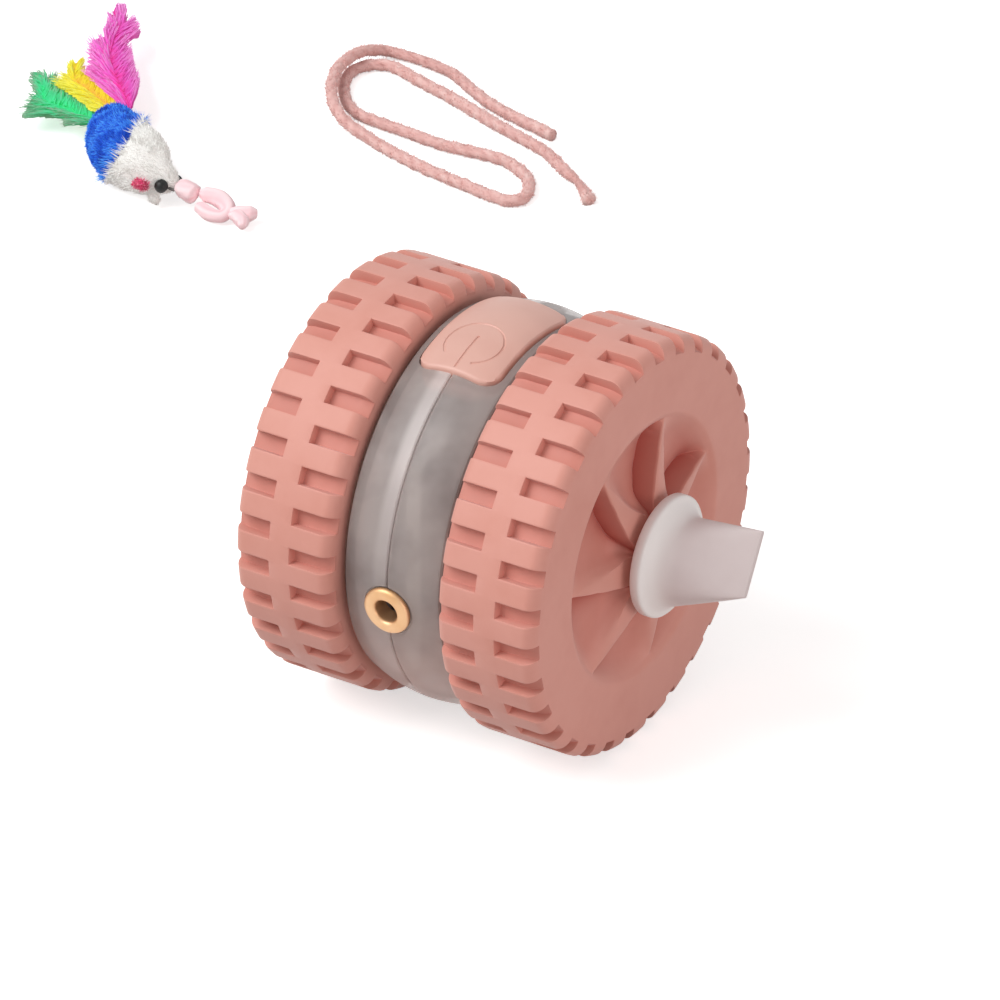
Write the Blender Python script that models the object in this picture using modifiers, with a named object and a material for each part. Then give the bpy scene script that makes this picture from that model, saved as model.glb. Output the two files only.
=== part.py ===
"""Automatic mouse wheel cat toy: a motor barrel between two treaded wheels, with a plush mouse and a rope.

Lengths are in metres and angles in degrees. The wheels turn about X, the eyelet faces -Y, +Z is up,
and the origin is on the floor under the middle of the axle. Angles round the axle are measured from
the front (-Y) towards the top (+Z).
"""
from math import acos, cos, pi, radians, sin, sqrt, tan

import bmesh
import bpy
from mathutils import Matrix, Vector

# Clearances and cutting
GAP = 0.0003
RUN_GAP = 0.00009
OVERRUN = 0.004
WELD = 0.00001

# Sides and points of round pieces
ROD_SIDES = 24
BORE_SIDES = 20
PIN_SIDES = 16
BOSS_SIDES = 12
SCREW_SIDES = 10
RIM_SIDES = 28
LEAD_POINTS = 12
ROUTE_STEPS = 12

# Barrel shell, whose drums and half width the wheels and the pieces inside follow
DRUM_R = 0.0280
BARREL_HALF = 0.0103
BARREL_DROP = 0.0023
BARREL_CORNER = 0.0009
SHELL_WALL = 0.0016
SEAM_RISE = 0.0099
SEAM_R = DRUM_R + SEAM_RISE
SEAM_GAP = 0.0003
SHELL_STEPS = 36
CROWN_POINTS = 3

# Axle line and wheels
DRUM_GAP = 0.0040
RIM_WALL = 0.0020
TYRE_WALL = 0.0060
TYRE_BORE_R = DRUM_R + DRUM_GAP + RIM_WALL
CROWN_R = TYRE_BORE_R + TYRE_WALL
AXLE_H = CROWN_R
SIDE_GAP = 0.0010
TYRE_W = 0.0205
TYRE_IN_X = BARREL_HALF + SIDE_GAP
TYRE_OUT_X = TYRE_IN_X + TYRE_W
SHOULDER_DROP = 0.0030
SHOULDER_RUN = 0.0024
BAND_W = 0.0044
BAND_STEP = 0.0100
BAND_MIDDLE_X = TYRE_OUT_X - BAND_STEP
NOTCH_COUNT = 32
NOTCH_SHARE = 0.42
NOTCH_DEPTH = 0.0020
TYRE_STEPS = 40
SIDEWALL_W = 0.0144
DISH_R = CROWN_R - SIDEWALL_W
DISH_ROUND = 0.0016
DISH_SLOPE_W = 0.0034
DISH_FLOOR_R = DISH_R - DISH_SLOPE_W
DISH_DEPTH = 0.0036
DISH_FLOOR_X = TYRE_OUT_X - DISH_DEPTH
DISH_HUB_DEPTH = 0.0013
DISH_HUB_X = TYRE_OUT_X - DISH_HUB_DEPTH
RIDGE_COUNT = 7
RIDGE_ROOT_R = 0.0086
RIDGE_HUB_R = 0.0092
RIDGE_ROOT_W = 0.0052
RIDGE_TIP_W = 0.0009
RIDGE_SWEEP = 3.0
RIDGE_ROOT_DEPTH = 0.0044
RIDGE_LOW_X = TYRE_OUT_X - RIDGE_ROOT_DEPTH
RIDGE_HUB_PROUD = 0.0021
RIDGE_HUB_X = TYRE_OUT_X + RIDGE_HUB_PROUD
RIDGE_TIP_DEPTH = 0.0008
RIDGE_TIP_X = TYRE_OUT_X - RIDGE_TIP_DEPTH
RIDGE_POINTS = 3

# Rim inside the tyre
RIM_SINK = 0.0006
RIM_IN_X = TYRE_IN_X + RIM_SINK
RIM_WEB = 0.0025
RIM_WEB_DEPTH = 0.0055
RIM_WEB_X = TYRE_OUT_X - RIM_WEB_DEPTH
HUB_BOSS_R = 0.0066
HUB_BOSS_RISE = 0.0006

# Paddle
FLANGE_R = 0.01165
FLANGE_STAND = 0.0034
FLANGE_BACK_X = TYRE_OUT_X + FLANGE_STAND
FLANGE_EDGE = 0.0023
FLANGE_ROUND = 0.0006
NECK_L = 0.0054
BLADE_L = 0.0132
BLADE_ROOT_X = FLANGE_BACK_X + NECK_L
BLADE_ROOT_R = 0.0084
BLADE_END_X = BLADE_ROOT_X + BLADE_L
BLADE_END_HIGH = 0.0095
BLADE_END_LOW = 0.0031
BLADE_END_T = 0.0014
BLADE_TILT = 30.0
BLADE_RINGS = 4
BLADE_SIDES = 24

# Pieces plugged into the hubs
HUB_PLUGS = {"right": "right_paddle", "left": "left_hub_cap"}

# How far each wheel is turned at rest
RIGHT_TURN = -7.3
LEFT_TURN = -1.8
RIDGE_TURN = 5.5

# Axle, gear train and motors
DRUM_END_GAP = 0.0018
DRUM_END_X = RIM_WEB_X - RIM_WEB - DRUM_END_GAP
AXLE_R = 0.0030
AXLE_IN_X = 0.0010
AXLE_STEP = 0.0006
AXLE_OUT_X = RIM_WEB_X - AXLE_STEP
PEG_GAP = 0.0008
PEG_END_X = AXLE_OUT_X + PEG_GAP
BUSH_WALL = 0.0018
BUSH_FLANGE_R = 0.0064
BUSH_FLANGE_T = 0.0012
BUSH_NOSE = 0.0006
WHEEL_TEETH = 40
PINION_TEETH = 10
PRESSURE_ANGLE = 20.0
BACKLASH = 0.00025
GEAR_GAP = 0.0004
GEAR_T = 0.0030
GEAR_X = DRUM_END_X - SHELL_WALL - GAP - BUSH_FLANGE_T - GEAR_GAP - GEAR_T
ADDENDUM_SHARE = 0.8
DEDENDUM_SHARE = 1.2
FLANK_POINTS = 2
MOTOR_L = 0.0230
MOTOR_FACE_STEP = 0.0013
MOTOR_FACE_X = GEAR_X - MOTOR_FACE_STEP
MOTOR_DEEP = 0.0100
MOTOR_ROOM = 0.0014
MODULE = 2 * (DRUM_R - SHELL_WALL - MOTOR_ROOM - MOTOR_DEEP / 2) / (WHEEL_TEETH + PINION_TEETH)
MOTOR_TALL = 0.0120
MOTOR_ROUND = 0.0010
MOTOR_SHAFT_R = 0.0015
SHAFT_SEAT = 0.0022
LEAD_R = 0.0007

# Motor frame and case screws
FRAME_T = 0.0030
SCREW_DROP = 0.0072
SCREW_ANGLE = 37.06
SCREW_Y = (SEAM_R - SCREW_DROP) * cos(radians(SCREW_ANGLE))
SCREW_Z = (SEAM_R - SCREW_DROP) * sin(radians(SCREW_ANGLE))
BOSS_R = 0.0040
FRAME_HUB_R = 0.0065
FRAME_HUB_HALF = 0.0060
SCREW_R = 0.0013
SCREW_HEAD_R = 0.0023
SCREW_HEAD_T = 0.0016
SCREW_SINK = 0.0026
SCREW_REACH = 0.0070

# Battery, ballast and circuit board
CELL_ROOM = 0.0009
CELL_W = 2 * (BARREL_HALF - SHELL_WALL - CELL_ROOM)
CELL_L = 0.0280
CELL_T = 0.0060
CELL_ROUND = 0.0012
BALLAST_L = 0.0210
BALLAST_ROOM = 0.0008
BOARD_ROOM = 0.0021
BOARD_STEP = 0.0040
BOARD_T = 0.0016
SWITCH_W = 0.0060
SWITCH_T = 0.0030
PLUNGER_R = 0.0017
PLUNGER_T = 0.0008
PORT_W = 0.0090
PORT_T = 0.0032
PORT_L = 0.0070
PORT_WALL = 0.0004
LED_R = 0.0018
LED_T = 0.0040
LED_INSET = 0.0055

# Button
BUTTON_ANGLE = 88.6
BUTTON_L = 0.0281
BUTTON_STRIP = 0.0019
BUTTON_W = 2 * (BARREL_HALF - BUTTON_STRIP)
BUTTON_CORNER = 0.0036
BUTTON_PROUD = 0.0005
BUTTON_TRAVEL = 0.0006
BUTTON_STOP = 0.0008
LIP_REACH = 0.0016
LIP_T = 0.0010
LIP_STEP = 0.0017
LIP_W = BUTTON_W - 2 * LIP_STEP
STEM_R = 0.0020

# Eyelet
EYELET_ANGLE = -5.5
EYELET_R = 0.00475
EYELET_HOLE_R = 0.0023
EYELET_TUBE_R = 0.0031
EYELET_T = 0.0013
EYELET_SEAT = 0.0008
EYELET_TAIL = 0.0014

# Plush mouse
MOUSE_X = -0.1632
MOUSE_Y = 0.1246
MOUSE_R = 0.00735
MOUSE_SIDES = 6
BORDER_DIP = 27.0
BORDER_HEADING = 13.7
EYE_R = 0.0014
EAR_L = 0.0036
EAR_W = 0.0024
EAR_T = 0.0012
FEATHER_T = 0.0007
FEATHER_DIP = 3.0
FEATHER_SLOT_L = 0.0060
FEATHER_SLOT_W = 0.0040
TIE_R = 0.00105
COLLAR_L = 0.0034
COLLAR_W = 0.0042
KNOT_R = 0.0018

# Rope
ROPE_D = 0.0026

# Turn that lays a flat outline across the axle: its first axis becomes Y and its second Z
UPRIGHT = (90.0, 0.0, 90.0)

TOY = bpy.data.collections.new("mouse_wheel_cat_toy")
CUTTERS = bpy.data.collections.new("cutters")

# Places on the plush mouse are shares of its radius, from the floor under its middle.
# Middle line of its body from tail to nose, with the body's radius there
MOUSE_SHARES = [
    (-1.66, 1.80, 0.95, 0.08), (-1.62, 1.72, 0.95, 0.40), (-1.46, 1.38, 0.95, 0.62), (-1.14, 0.84, 0.95, 0.82),
    (-0.68, 0.35, 0.97, 0.94), (-0.20, 0.03, 1.00, 1.00), (0.22, -0.14, 0.99, 0.99), (0.52, -0.23, 0.94, 0.91),
    (0.80, -0.31, 0.86, 0.78), (1.09, -0.34, 0.79, 0.61), (1.36, -0.33, 0.73, 0.45), (1.61, -0.31, 0.68, 0.26),
    (1.76, -0.29, 0.65, 0.08),
]
BORDER_SHARES = (-0.39, 0.26, 0.90)
EYE_SHARES = {"right": (1.47, -0.79, 0.79), "left": (1.38, 0.08, 0.50)}
EAR_SHARES = {"right": (0.99, -1.05, 0.84), "left": (0.98, 0.26, 0.48)}
EAR_HEADINGS = {"right": 16.0, "left": -13.0}
COLLAR_SHARES = (2.08, -0.39, 0.61)
TIE_SHARES = [
    (2.41, -0.27, 0.60), (2.60, -0.22, 0.59), (2.82, -0.15, 0.56), (3.03, -0.14, 0.50), (3.22, -0.19, 0.42),
    (3.36, -0.35, 0.34), (3.31, -0.56, 0.27), (3.09, -0.64, 0.26), (2.84, -0.61, 0.26), (2.63, -0.54, 0.29),
    (2.44, -0.48, 0.33),
]
KNOT_SHARES = [(3.84, -0.35, 0.29), (3.81, -0.08, 0.33), (3.99, -0.60, 0.26)]

# Feathers: length and heading, where they leave the rump, and their outlines as shares of their length
FEATHER_LENGTHS = {"magenta": 0.0485, "yellow": 0.0257, "green": 0.0284}
FEATHER_HEADINGS = {"magenta": 121.0, "yellow": 140.0, "green": 165.0}
FEATHER_ROOT_SHARES = {
    "magenta": (-1.44, 1.99, 1.14),
    "yellow": (-1.89, 1.83, 0.91),
    "green": (-1.87, 1.61, 0.68),
}
FEATHER_SHARES = {
    "magenta": [(-0.06, 0.02), (-0.06, -0.02), (0.03, -0.02), (0.13, -0.03), (0.27, -0.04), (0.40, -0.01),
                (0.53, 0.01), (0.60, 0.02), (0.64, 0.05), (0.71, 0.04), (0.71, -0.01), (0.79, -0.02),
                (0.90, 0.02), (0.89, 0.07), (1.00, 0.09), (0.94, 0.13), (0.81, 0.13), (0.72, 0.14),
                (0.71, 0.19), (0.57, 0.21), (0.45, 0.20), (0.34, 0.21), (0.28, 0.17), (0.15, 0.10),
                (0.02, 0.02)],
    "yellow": [(-0.06, 0.02), (-0.06, -0.02), (0.10, -0.15), (0.24, -0.13), (0.41, -0.07), (0.66, -0.02),
               (0.82, 0.01), (1.00, -0.06), (1.00, 0.04), (0.99, 0.09), (0.86, 0.12), (0.78, 0.25),
               (0.71, 0.31), (0.58, 0.25), (0.39, 0.20), (0.20, 0.16), (0.03, 0.12)],
    "green": [(-0.09, 0.02), (-0.09, -0.02), (0.19, -0.05), (0.33, -0.09), (0.50, -0.13), (0.72, -0.18),
              (0.86, -0.27), (0.97, -0.23), (1.00, -0.19), (0.96, -0.07), (0.82, 0.01), (0.75, 0.14),
              (0.65, 0.27), (0.63, 0.35), (0.55, 0.37), (0.46, 0.26), (0.33, 0.18), (0.21, 0.27),
              (0.24, 0.19), (0.13, 0.16), (0.09, 0.05)],
}

# Route of the rope: x, y and height of its middle above the floor
ROPE_ROUTE = [
    (-0.1001, 0.1855, 0.0013), (-0.1122, 0.1885, 0.0013), (-0.1183, 0.1905, 0.0013), (-0.1238, 0.1932, 0.0013),
    (-0.1283, 0.1958, 0.0013), (-0.1325, 0.1978, 0.0013), (-0.1401, 0.1991, 0.0013), (-0.1476, 0.1985, 0.0016),
    (-0.1496, 0.1952, 0.0029), (-0.1504, 0.1913, 0.0041), (-0.1506, 0.1868, 0.0045), (-0.1504, 0.1825, 0.0044),
    (-0.1487, 0.1779, 0.0044), (-0.1464, 0.1737, 0.0043), (-0.1438, 0.1701, 0.0040), (-0.1410, 0.1677, 0.0033),
    (-0.1384, 0.1666, 0.0023), (-0.1350, 0.1659, 0.0015), (-0.1251, 0.1625, 0.0013), (-0.1137, 0.1597, 0.0013),
    (-0.1032, 0.1581, 0.0013), (-0.0978, 0.1572, 0.0013), (-0.0939, 0.1571, 0.0013), (-0.0917, 0.1588, 0.0013),
    (-0.0919, 0.1621, 0.0013), (-0.0937, 0.1656, 0.0013), (-0.0965, 0.1684, 0.0013), (-0.1028, 0.1712, 0.0013),
    (-0.1101, 0.1710, 0.0013), (-0.1179, 0.1703, 0.0013), (-0.1271, 0.1711, 0.0013), (-0.1347, 0.1717, 0.0013),
    (-0.1383, 0.1722, 0.0013), (-0.1418, 0.1739, 0.0013), (-0.1451, 0.1769, 0.0013), (-0.1479, 0.1808, 0.0013),
    (-0.1500, 0.1857, 0.0013), (-0.1498, 0.1892, 0.0013), (-0.1486, 0.1915, 0.0013), (-0.1462, 0.1931, 0.0013),
    (-0.1430, 0.1934, 0.0013), (-0.1351, 0.1910, 0.0013), (-0.1256, 0.1882, 0.0013), (-0.1143, 0.1841, 0.0013),
    (-0.1024, 0.1804, 0.0013), (-0.0974, 0.1785, 0.0013), (-0.0902, 0.1740, 0.0013), (-0.0853, 0.1711, 0.0013),
    (-0.0797, 0.1661, 0.0013),
]
ROPE_POINTS = 50


def clear_scene() -> None:
    """Remove what the scene holds and link the two collections."""
    for old in list(bpy.data.objects):
        bpy.data.objects.remove(old, do_unlink=True)
    bpy.context.scene.collection.children.link(TOY)
    bpy.context.scene.collection.children.link(CUTTERS)


def finish(name, colour, roughness, metallic=0.0, alpha=1.0):
    """Make one Principled material."""
    mat = bpy.data.materials.new(name)
    mat.use_nodes = True
    shader = mat.node_tree.nodes["Principled BSDF"]
    shader.inputs["Base Color"].default_value = (*colour, 1.0)
    shader.inputs["Roughness"].default_value = roughness
    shader.inputs["Metallic"].default_value = metallic
    shader.inputs["Alpha"].default_value = alpha
    return mat


PINK_RUBBER = finish("pink_rubber", (0.60, 0.26, 0.21), 0.55)
PINK_PLASTIC = finish("pink_plastic", (0.60, 0.30, 0.25), 0.45)
GREY_PLASTIC = finish("grey_plastic", (0.56, 0.50, 0.50), 0.45)
FROSTED_SHELL = finish("frosted_shell", (0.40, 0.37, 0.36), 0.35, 0.0, 0.6)
BRASS = finish("brass", (0.62, 0.36, 0.16), 0.30, 1.0)
STEEL = finish("steel", (0.55, 0.55, 0.57), 0.35, 1.0)
WHITE_NYLON = finish("white_nylon", (0.75, 0.74, 0.70), 0.45)
DARK_PLASTIC = finish("dark_plastic", (0.06, 0.06, 0.07), 0.50)
CELL_WRAP = finish("cell_wrap", (0.62, 0.60, 0.59), 0.40)
DARK_BOARD = finish("dark_board", (0.05, 0.05, 0.06), 0.45)
LED_CLEAR = finish("led_clear", (0.80, 0.80, 0.78), 0.20)
WHITE_PLUSH = finish("white_plush", (0.85, 0.85, 0.83), 0.90)
BLUE_PLUSH = finish("blue_plush", (0.01, 0.12, 0.70), 0.90)
BLACK_BEAD = finish("black_bead", (0.01, 0.01, 0.01), 0.20)
RED_FELT = finish("red_felt", (0.75, 0.05, 0.15), 0.85)
PINK_CORD = finish("pink_cord", (0.72, 0.40, 0.38), 0.90)
PALE_PINK = finish("pale_pink", (0.85, 0.60, 0.62), 0.85)
FEATHER_FINISH = {
    "magenta": finish("magenta_feather", (0.85, 0.10, 0.55), 0.80),
    "yellow": finish("yellow_feather", (0.85, 0.70, 0.02), 0.80),
    "green": finish("green_feather", (0.05, 0.65, 0.25), 0.80),
}


def empty(name, parent=None, place=(0.0, 0.0, 0.0), turn=(0.0, 0.0, 0.0)):
    """Add an empty that carries pieces; turn is in degrees."""
    item = bpy.data.objects.new(name, None)
    TOY.objects.link(item)
    item.parent = parent
    item.location = place
    item.rotation_euler = [radians(angle) for angle in turn]
    return item


def add(name, data, mat, parent, place=(0.0, 0.0, 0.0), turn=(0.0, 0.0, 0.0)):
    """Link a mesh or curve as one named piece."""
    item = bpy.data.objects.new(name, data)
    data.materials.append(mat)
    TOY.objects.link(item)
    item.parent = parent
    item.location = place
    item.rotation_euler = [radians(angle) for angle in turn]
    return item


def as_cutter(item):
    """Turn a piece into a cutter or a guide that is not part of the toy."""
    TOY.objects.unlink(item)
    CUTTERS.objects.link(item)
    item.hide_render = True
    item.display_type = "WIRE"
    return item


def boolean(item, tool, operation="DIFFERENCE"):
    """Cut, join or intersect a piece with another one."""
    step = item.modifiers.new(operation.lower(), "BOOLEAN")
    step.operation = operation
    step.solver = "EXACT"
    step.object = tool


def smooth(data, angle=35.0):
    """Shade a round mesh smooth apart from its edges."""
    data.shade_smooth()
    data.set_sharp_from_angle(angle=radians(angle))


def turned(name, profile, steps, mat, parent, closed=True, **where):
    """Turn a profile of (radius, height) about local Z; it runs down its outer side."""
    data = bpy.data.meshes.new(name)
    points = [(radius, 0.0, height) for radius, height in profile]
    edges = [(i, i + 1) for i in range(len(points) - 1)]
    if closed:
        edges.append((len(points) - 1, 0))
    data.from_pydata(points, edges, [])
    item = add(name, data, mat, parent, **where)
    screw = item.modifiers.new("turn", "SCREW")
    screw.axis = "Z"
    screw.steps = steps
    screw.render_steps = steps
    screw.use_merge_vertices = True
    screw.merge_threshold = WELD
    screw.use_smooth_shade = True
    return item


def block(name, size, centre, mat, parent, rounding=0.0, corners_only=False, turn=(0.0, 0.0, 0.0)):
    """Make a block from a cube, with rounded edges or only rounded upright corners."""
    mesh = bmesh.new()
    bmesh.ops.create_cube(mesh, size=1.0, matrix=Matrix.Diagonal((*size, 1.0)))
    data = bpy.data.meshes.new(name)
    mesh.to_mesh(data)
    mesh.free()
    item = add(name, data, mat, parent, place=centre, turn=turn)
    if rounding:
        if corners_only:
            weights = data.attributes.new("bevel_weight_edge", "FLOAT", "EDGE")
            for edge in data.edges:
                ends = [data.vertices[i].co for i in edge.vertices]
                upright = abs(ends[0].z - ends[1].z) > WELD
                weights.data[edge.index].value = 1.0 if upright else 0.0
        bevel = item.modifiers.new("edges", "BEVEL")
        bevel.width = rounding
        bevel.segments = 4 if corners_only else 2
        bevel.limit_method = "WEIGHT" if corners_only else "ANGLE"
    return item


def rod(name, radius, low, high, mat, parent, sides=ROD_SIDES, **where):
    """Make a rod along local Z from low to high."""
    profile = [(0.0, high), (radius, high), (radius, low), (0.0, low)]
    return turned(name, profile, sides, mat, parent, False, **where)


def tube(name, points, radius, mat, parent, sides=2, shares=()):
    """Make a capped tube through the points; shares swell or taper it."""
    data = bpy.data.curves.new(name, "CURVE")
    data.dimensions = "3D"
    data.bevel_depth = radius
    data.bevel_resolution = sides
    data.use_fill_caps = True
    spline = data.splines.new("POLY")
    spline.points.add(len(points) - 1)
    for slot, point in zip(spline.points, points):
        slot.co = (*point, 1.0)
    for slot, share in zip(spline.points, shares):
        slot.radius = share
    return add(name, data, mat, parent)


def plate(name, outlines, thick, mat, parent, **where):
    """Extrude flat outlines; the first is the edge and the others are holes."""
    data = bpy.data.curves.new(name, "CURVE")
    data.dimensions = "2D"
    data.fill_mode = "BOTH"
    data.extrude = thick / 2
    for outline in outlines:
        spline = data.splines.new("POLY")
        spline.points.add(len(outline) - 1)
        for slot, (across, up) in zip(spline.points, outline):
            slot.co = (across, up, 0.0, 1.0)
        spline.use_cyclic_u = True
    return add(name, data, mat, parent, **where)


def circle(radius, sides):
    """Points of a circle."""
    return [(radius * cos(2 * pi * i / sides), radius * sin(2 * pi * i / sides)) for i in range(sides)]


def smooth_route(route, count):
    """Read count points at even steps from the smooth curve through the route's points."""
    points = [Vector(point) for point in route]
    ends = [2 * points[0] - points[1]] + points + [2 * points[-1] - points[-2]]
    fine = []
    for i in range(1, len(ends) - 2):
        before, start, stop, after = ends[i - 1], ends[i], ends[i + 1], ends[i + 2]
        for j in range(ROUTE_STEPS):
            t = j / ROUTE_STEPS
            pull = start * 2 + (stop - before) * t + (before * 2 - start * 5 + stop * 4 - after) * t * t
            fine.append((pull + (start * 3 - before - stop * 3 + after) * t ** 3) / 2)
    fine.append(points[-1])
    lengths = [0.0]
    for here, there in zip(fine, fine[1:]):
        lengths.append(lengths[-1] + (there - here).length)
    even = []
    spot = 0
    for i in range(count):
        goal = lengths[-1] * i / (count - 1)
        while spot < len(fine) - 2 and lengths[spot + 1] < goal:
            spot += 1
        share = (goal - lengths[spot]) / (lengths[spot + 1] - lengths[spot])
        even.append(fine[spot].lerp(fine[spot + 1], min(share, 1.0)))
    return even


def barrel_radius(x):
    """Outer radius of the crowned barrel at a distance from the seam."""
    return SEAM_R - BARREL_DROP * (x / BARREL_HALF) ** 2


def barrel_curve(offset, low, high):
    """Points of the crowned barrel surface moved by offset, from low to high."""
    spots = [low + (high - low) * i / (CROWN_POINTS - 1) for i in range(CROWN_POINTS)]
    return [(barrel_radius(x) + offset, x) for x in spots]


def gear_outline(teeth, bore, phase=0.0):
    """Outline of a spur gear with involute flanks, and its bore; phase is in tooth pitches."""
    pitch_r = MODULE * teeth / 2
    base_r = pitch_r * cos(radians(PRESSURE_ANGLE))
    tip_r = pitch_r + MODULE * ADDENDUM_SHARE
    root_r = pitch_r - MODULE * DEDENDUM_SHARE
    thick = pi * MODULE / 2 - BACKLASH
    half_pitch = thick / (2 * pitch_r) + tan(radians(PRESSURE_ANGLE)) - radians(PRESSURE_ANGLE)
    low_r = max(base_r, root_r)
    flank = []
    for i in range(FLANK_POINTS):
        radius = low_r + (tip_r - low_r) * i / (FLANK_POINTS - 1)
        angle = acos(min(1.0, base_r / radius))
        flank.append((radius, half_pitch - (tan(angle) - angle)))
    if root_r < low_r:
        flank.insert(0, (root_r, flank[0][1]))
    outline = []
    for tooth in range(teeth):
        middle = 2 * pi * (tooth + phase) / teeth
        for radius, half in flank:
            outline.append((radius * cos(middle - half), radius * sin(middle - half)))
        for radius, half in reversed(flank):
            outline.append((radius * cos(middle + half), radius * sin(middle + half)))
    return [outline, circle(bore, BORE_SIDES)]


def shell(side, parent):
    """Half of the translucent barrel with the drum that reaches into the wheel."""
    seam = SEAM_GAP / 2
    corner_x = BARREL_HALF - BARREL_CORNER
    wall_in = BARREL_HALF - SHELL_WALL
    bore = AXLE_R + RUN_GAP + BUSH_WALL + GAP
    outer = barrel_curve(0.0, corner_x, seam)
    inner = barrel_curve(-SHELL_WALL, seam, wall_in)
    profile = [(bore, DRUM_END_X), (DRUM_R - BARREL_CORNER, DRUM_END_X),
               (DRUM_R, DRUM_END_X - BARREL_CORNER)]
    profile += [(DRUM_R, BARREL_HALF), (outer[0][0] - BARREL_CORNER, BARREL_HALF)] + outer + inner
    profile += [(DRUM_R - SHELL_WALL, wall_in), (DRUM_R - SHELL_WALL, DRUM_END_X - SHELL_WALL)]
    profile += [(bore, DRUM_END_X - SHELL_WALL)]
    half = turned(f"shell_{side}", profile, SHELL_STEPS, FROSTED_SHELL, parent, turn=(0.0, 90.0, 0.0))
    boss_low = FRAME_T / 2 + GAP
    for i, (y, z) in enumerate(screw_places()):
        boss = rod(f"boss_{side}_{i}", BOSS_R, boss_low, BARREL_HALF - GAP, FROSTED_SHELL, parent,
                   BOSS_SIDES, place=(0.0, y, z), turn=(0.0, 90.0, 0.0))
        boolean(half, as_cutter(boss), "UNION")
        through = side == "left"
        hole_end = BARREL_HALF + OVERRUN if through else SCREW_REACH + GAP
        hole = rod(f"screw_hole_{side}_{i}", SCREW_R + GAP, -OVERRUN, hole_end, FROSTED_SHELL, parent,
                   SCREW_SIDES, place=(0.0, y, z), turn=(0.0, 90.0, 0.0))
        boolean(half, as_cutter(hole))
        if through:
            sink = rod(f"screw_sink_{i}", SCREW_HEAD_R + GAP, BARREL_HALF - SCREW_SINK, BARREL_HALF + OVERRUN,
                       FROSTED_SHELL, parent, BOSS_SIDES, place=(0.0, y, z), turn=(0.0, 90.0, 0.0))
            boolean(half, as_cutter(sink))
    return half


def screw_places():
    """Places of the four case screws round the axle."""
    return [(y, z) for y in (-SCREW_Y, SCREW_Y) for z in (-SCREW_Z, SCREW_Z)]


def case_screws(parent):
    """Four screws from the left half into the bosses of the right half."""
    seat = -(BARREL_HALF - SCREW_SINK + GAP)
    profile = [(0.0, SCREW_REACH), (SCREW_R, SCREW_REACH), (SCREW_R, seat), (SCREW_HEAD_R, seat),
               (SCREW_HEAD_R, seat - SCREW_HEAD_T), (0.0, seat - SCREW_HEAD_T)]
    for i, (y, z) in enumerate(screw_places()):
        turned(f"case_screw_{i + 1}", profile, SCREW_SIDES, STEEL, parent, False, place=(0.0, y, z),
               turn=(0.0, 90.0, 0.0))


def motor_frame(parent):
    """Moulded plate that carries both motors and the inner ends of the axles."""
    size = (FRAME_T, 2 * (SCREW_Y + BOSS_R), 2 * (SCREW_Z + BOSS_R))
    upright = (size[2], size[1], size[0])
    lay = (0.0, 90.0, 0.0)
    item = block("motor_frame", upright, (0.0, 0.0, 0.0), WHITE_NYLON, parent, BOSS_R, True, lay)
    hub = rod("frame_hub", FRAME_HUB_R, -FRAME_HUB_HALF, FRAME_HUB_HALF, WHITE_NYLON, parent, turn=lay)
    boolean(item, as_cutter(hub), "UNION")
    reach = FRAME_HUB_HALF + OVERRUN
    bore = rod("frame_bore", AXLE_R + RUN_GAP, -reach, reach, WHITE_NYLON, parent, turn=lay)
    boolean(item, as_cutter(bore))
    for i, (y, z) in enumerate(screw_places()):
        hole = rod(f"frame_hole_{i}", SCREW_R + GAP, -OVERRUN, OVERRUN, WHITE_NYLON, parent,
                   SCREW_SIDES, place=(0.0, y, z), turn=(0.0, 90.0, 0.0))
        boolean(item, as_cutter(hole))
    for i, y in enumerate((-motor_line(), motor_line())):
        window = (2 * OVERRUN, MOTOR_DEEP + 2 * GAP, MOTOR_TALL + 2 * GAP)
        cut = block(f"motor_window_{i}", window, (0.0, y, 0.0), WHITE_NYLON, parent, MOTOR_ROUND)
        boolean(item, as_cutter(cut))


def motor_line():
    """Distance from the axle to a motor's shaft."""
    return MODULE * (WHEEL_TEETH + PINION_TEETH) / 2


def drive(side, parent):
    """Gear motor, its shaft and pinion, and its lead, in front of the axle of this side."""
    y = -motor_line()
    middle = MOTOR_FACE_X - MOTOR_L / 2
    size = (MOTOR_L, MOTOR_DEEP, MOTOR_TALL)
    motor = block(f"{side}_motor", size, (middle, y, 0.0), STEEL, parent, MOTOR_ROUND)
    seat_end = MOTOR_FACE_X - SHAFT_SEAT
    seat = rod(f"{side}_shaft_seat", MOTOR_SHAFT_R + RUN_GAP, seat_end, MOTOR_FACE_X + OVERRUN, STEEL, parent,
               PIN_SIDES, place=(0.0, y, 0.0), turn=(0.0, 90.0, 0.0))
    boolean(motor, as_cutter(seat))
    end = GEAR_X + GEAR_T + GAP
    rod(f"{side}_motor_shaft", MOTOR_SHAFT_R, seat_end + GAP, end, STEEL, parent,
        PIN_SIDES, place=(0.0, y, 0.0), turn=(0.0, 90.0, 0.0))
    outline = gear_outline(PINION_TEETH, MOTOR_SHAFT_R + GAP, 0.5)
    plate(f"{side}_pinion", outline, GEAR_T, WHITE_NYLON, parent,
          place=(GEAR_X + GEAR_T / 2, y, 0.0), turn=UPRIGHT)
    back = MOTOR_FACE_X - MOTOR_L - GAP
    up = MOTOR_TALL / 3
    board_z = SCREW_Z + BOSS_R - GAP
    points = [(back, y, up), (back - LEAD_R * 2, y, up), (back - LEAD_R * 2, y + MOTOR_DEEP / 5, up * 3),
              (back + LEAD_R * 2, y + MOTOR_DEEP / 2, board_z - up),
              (back + LEAD_R * 4, y + MOTOR_DEEP / 2, board_z)]
    tube(f"{side}_motor_lead", smooth_route(points, LEAD_POINTS), LEAD_R, DARK_PLASTIC, parent, 1)


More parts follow.
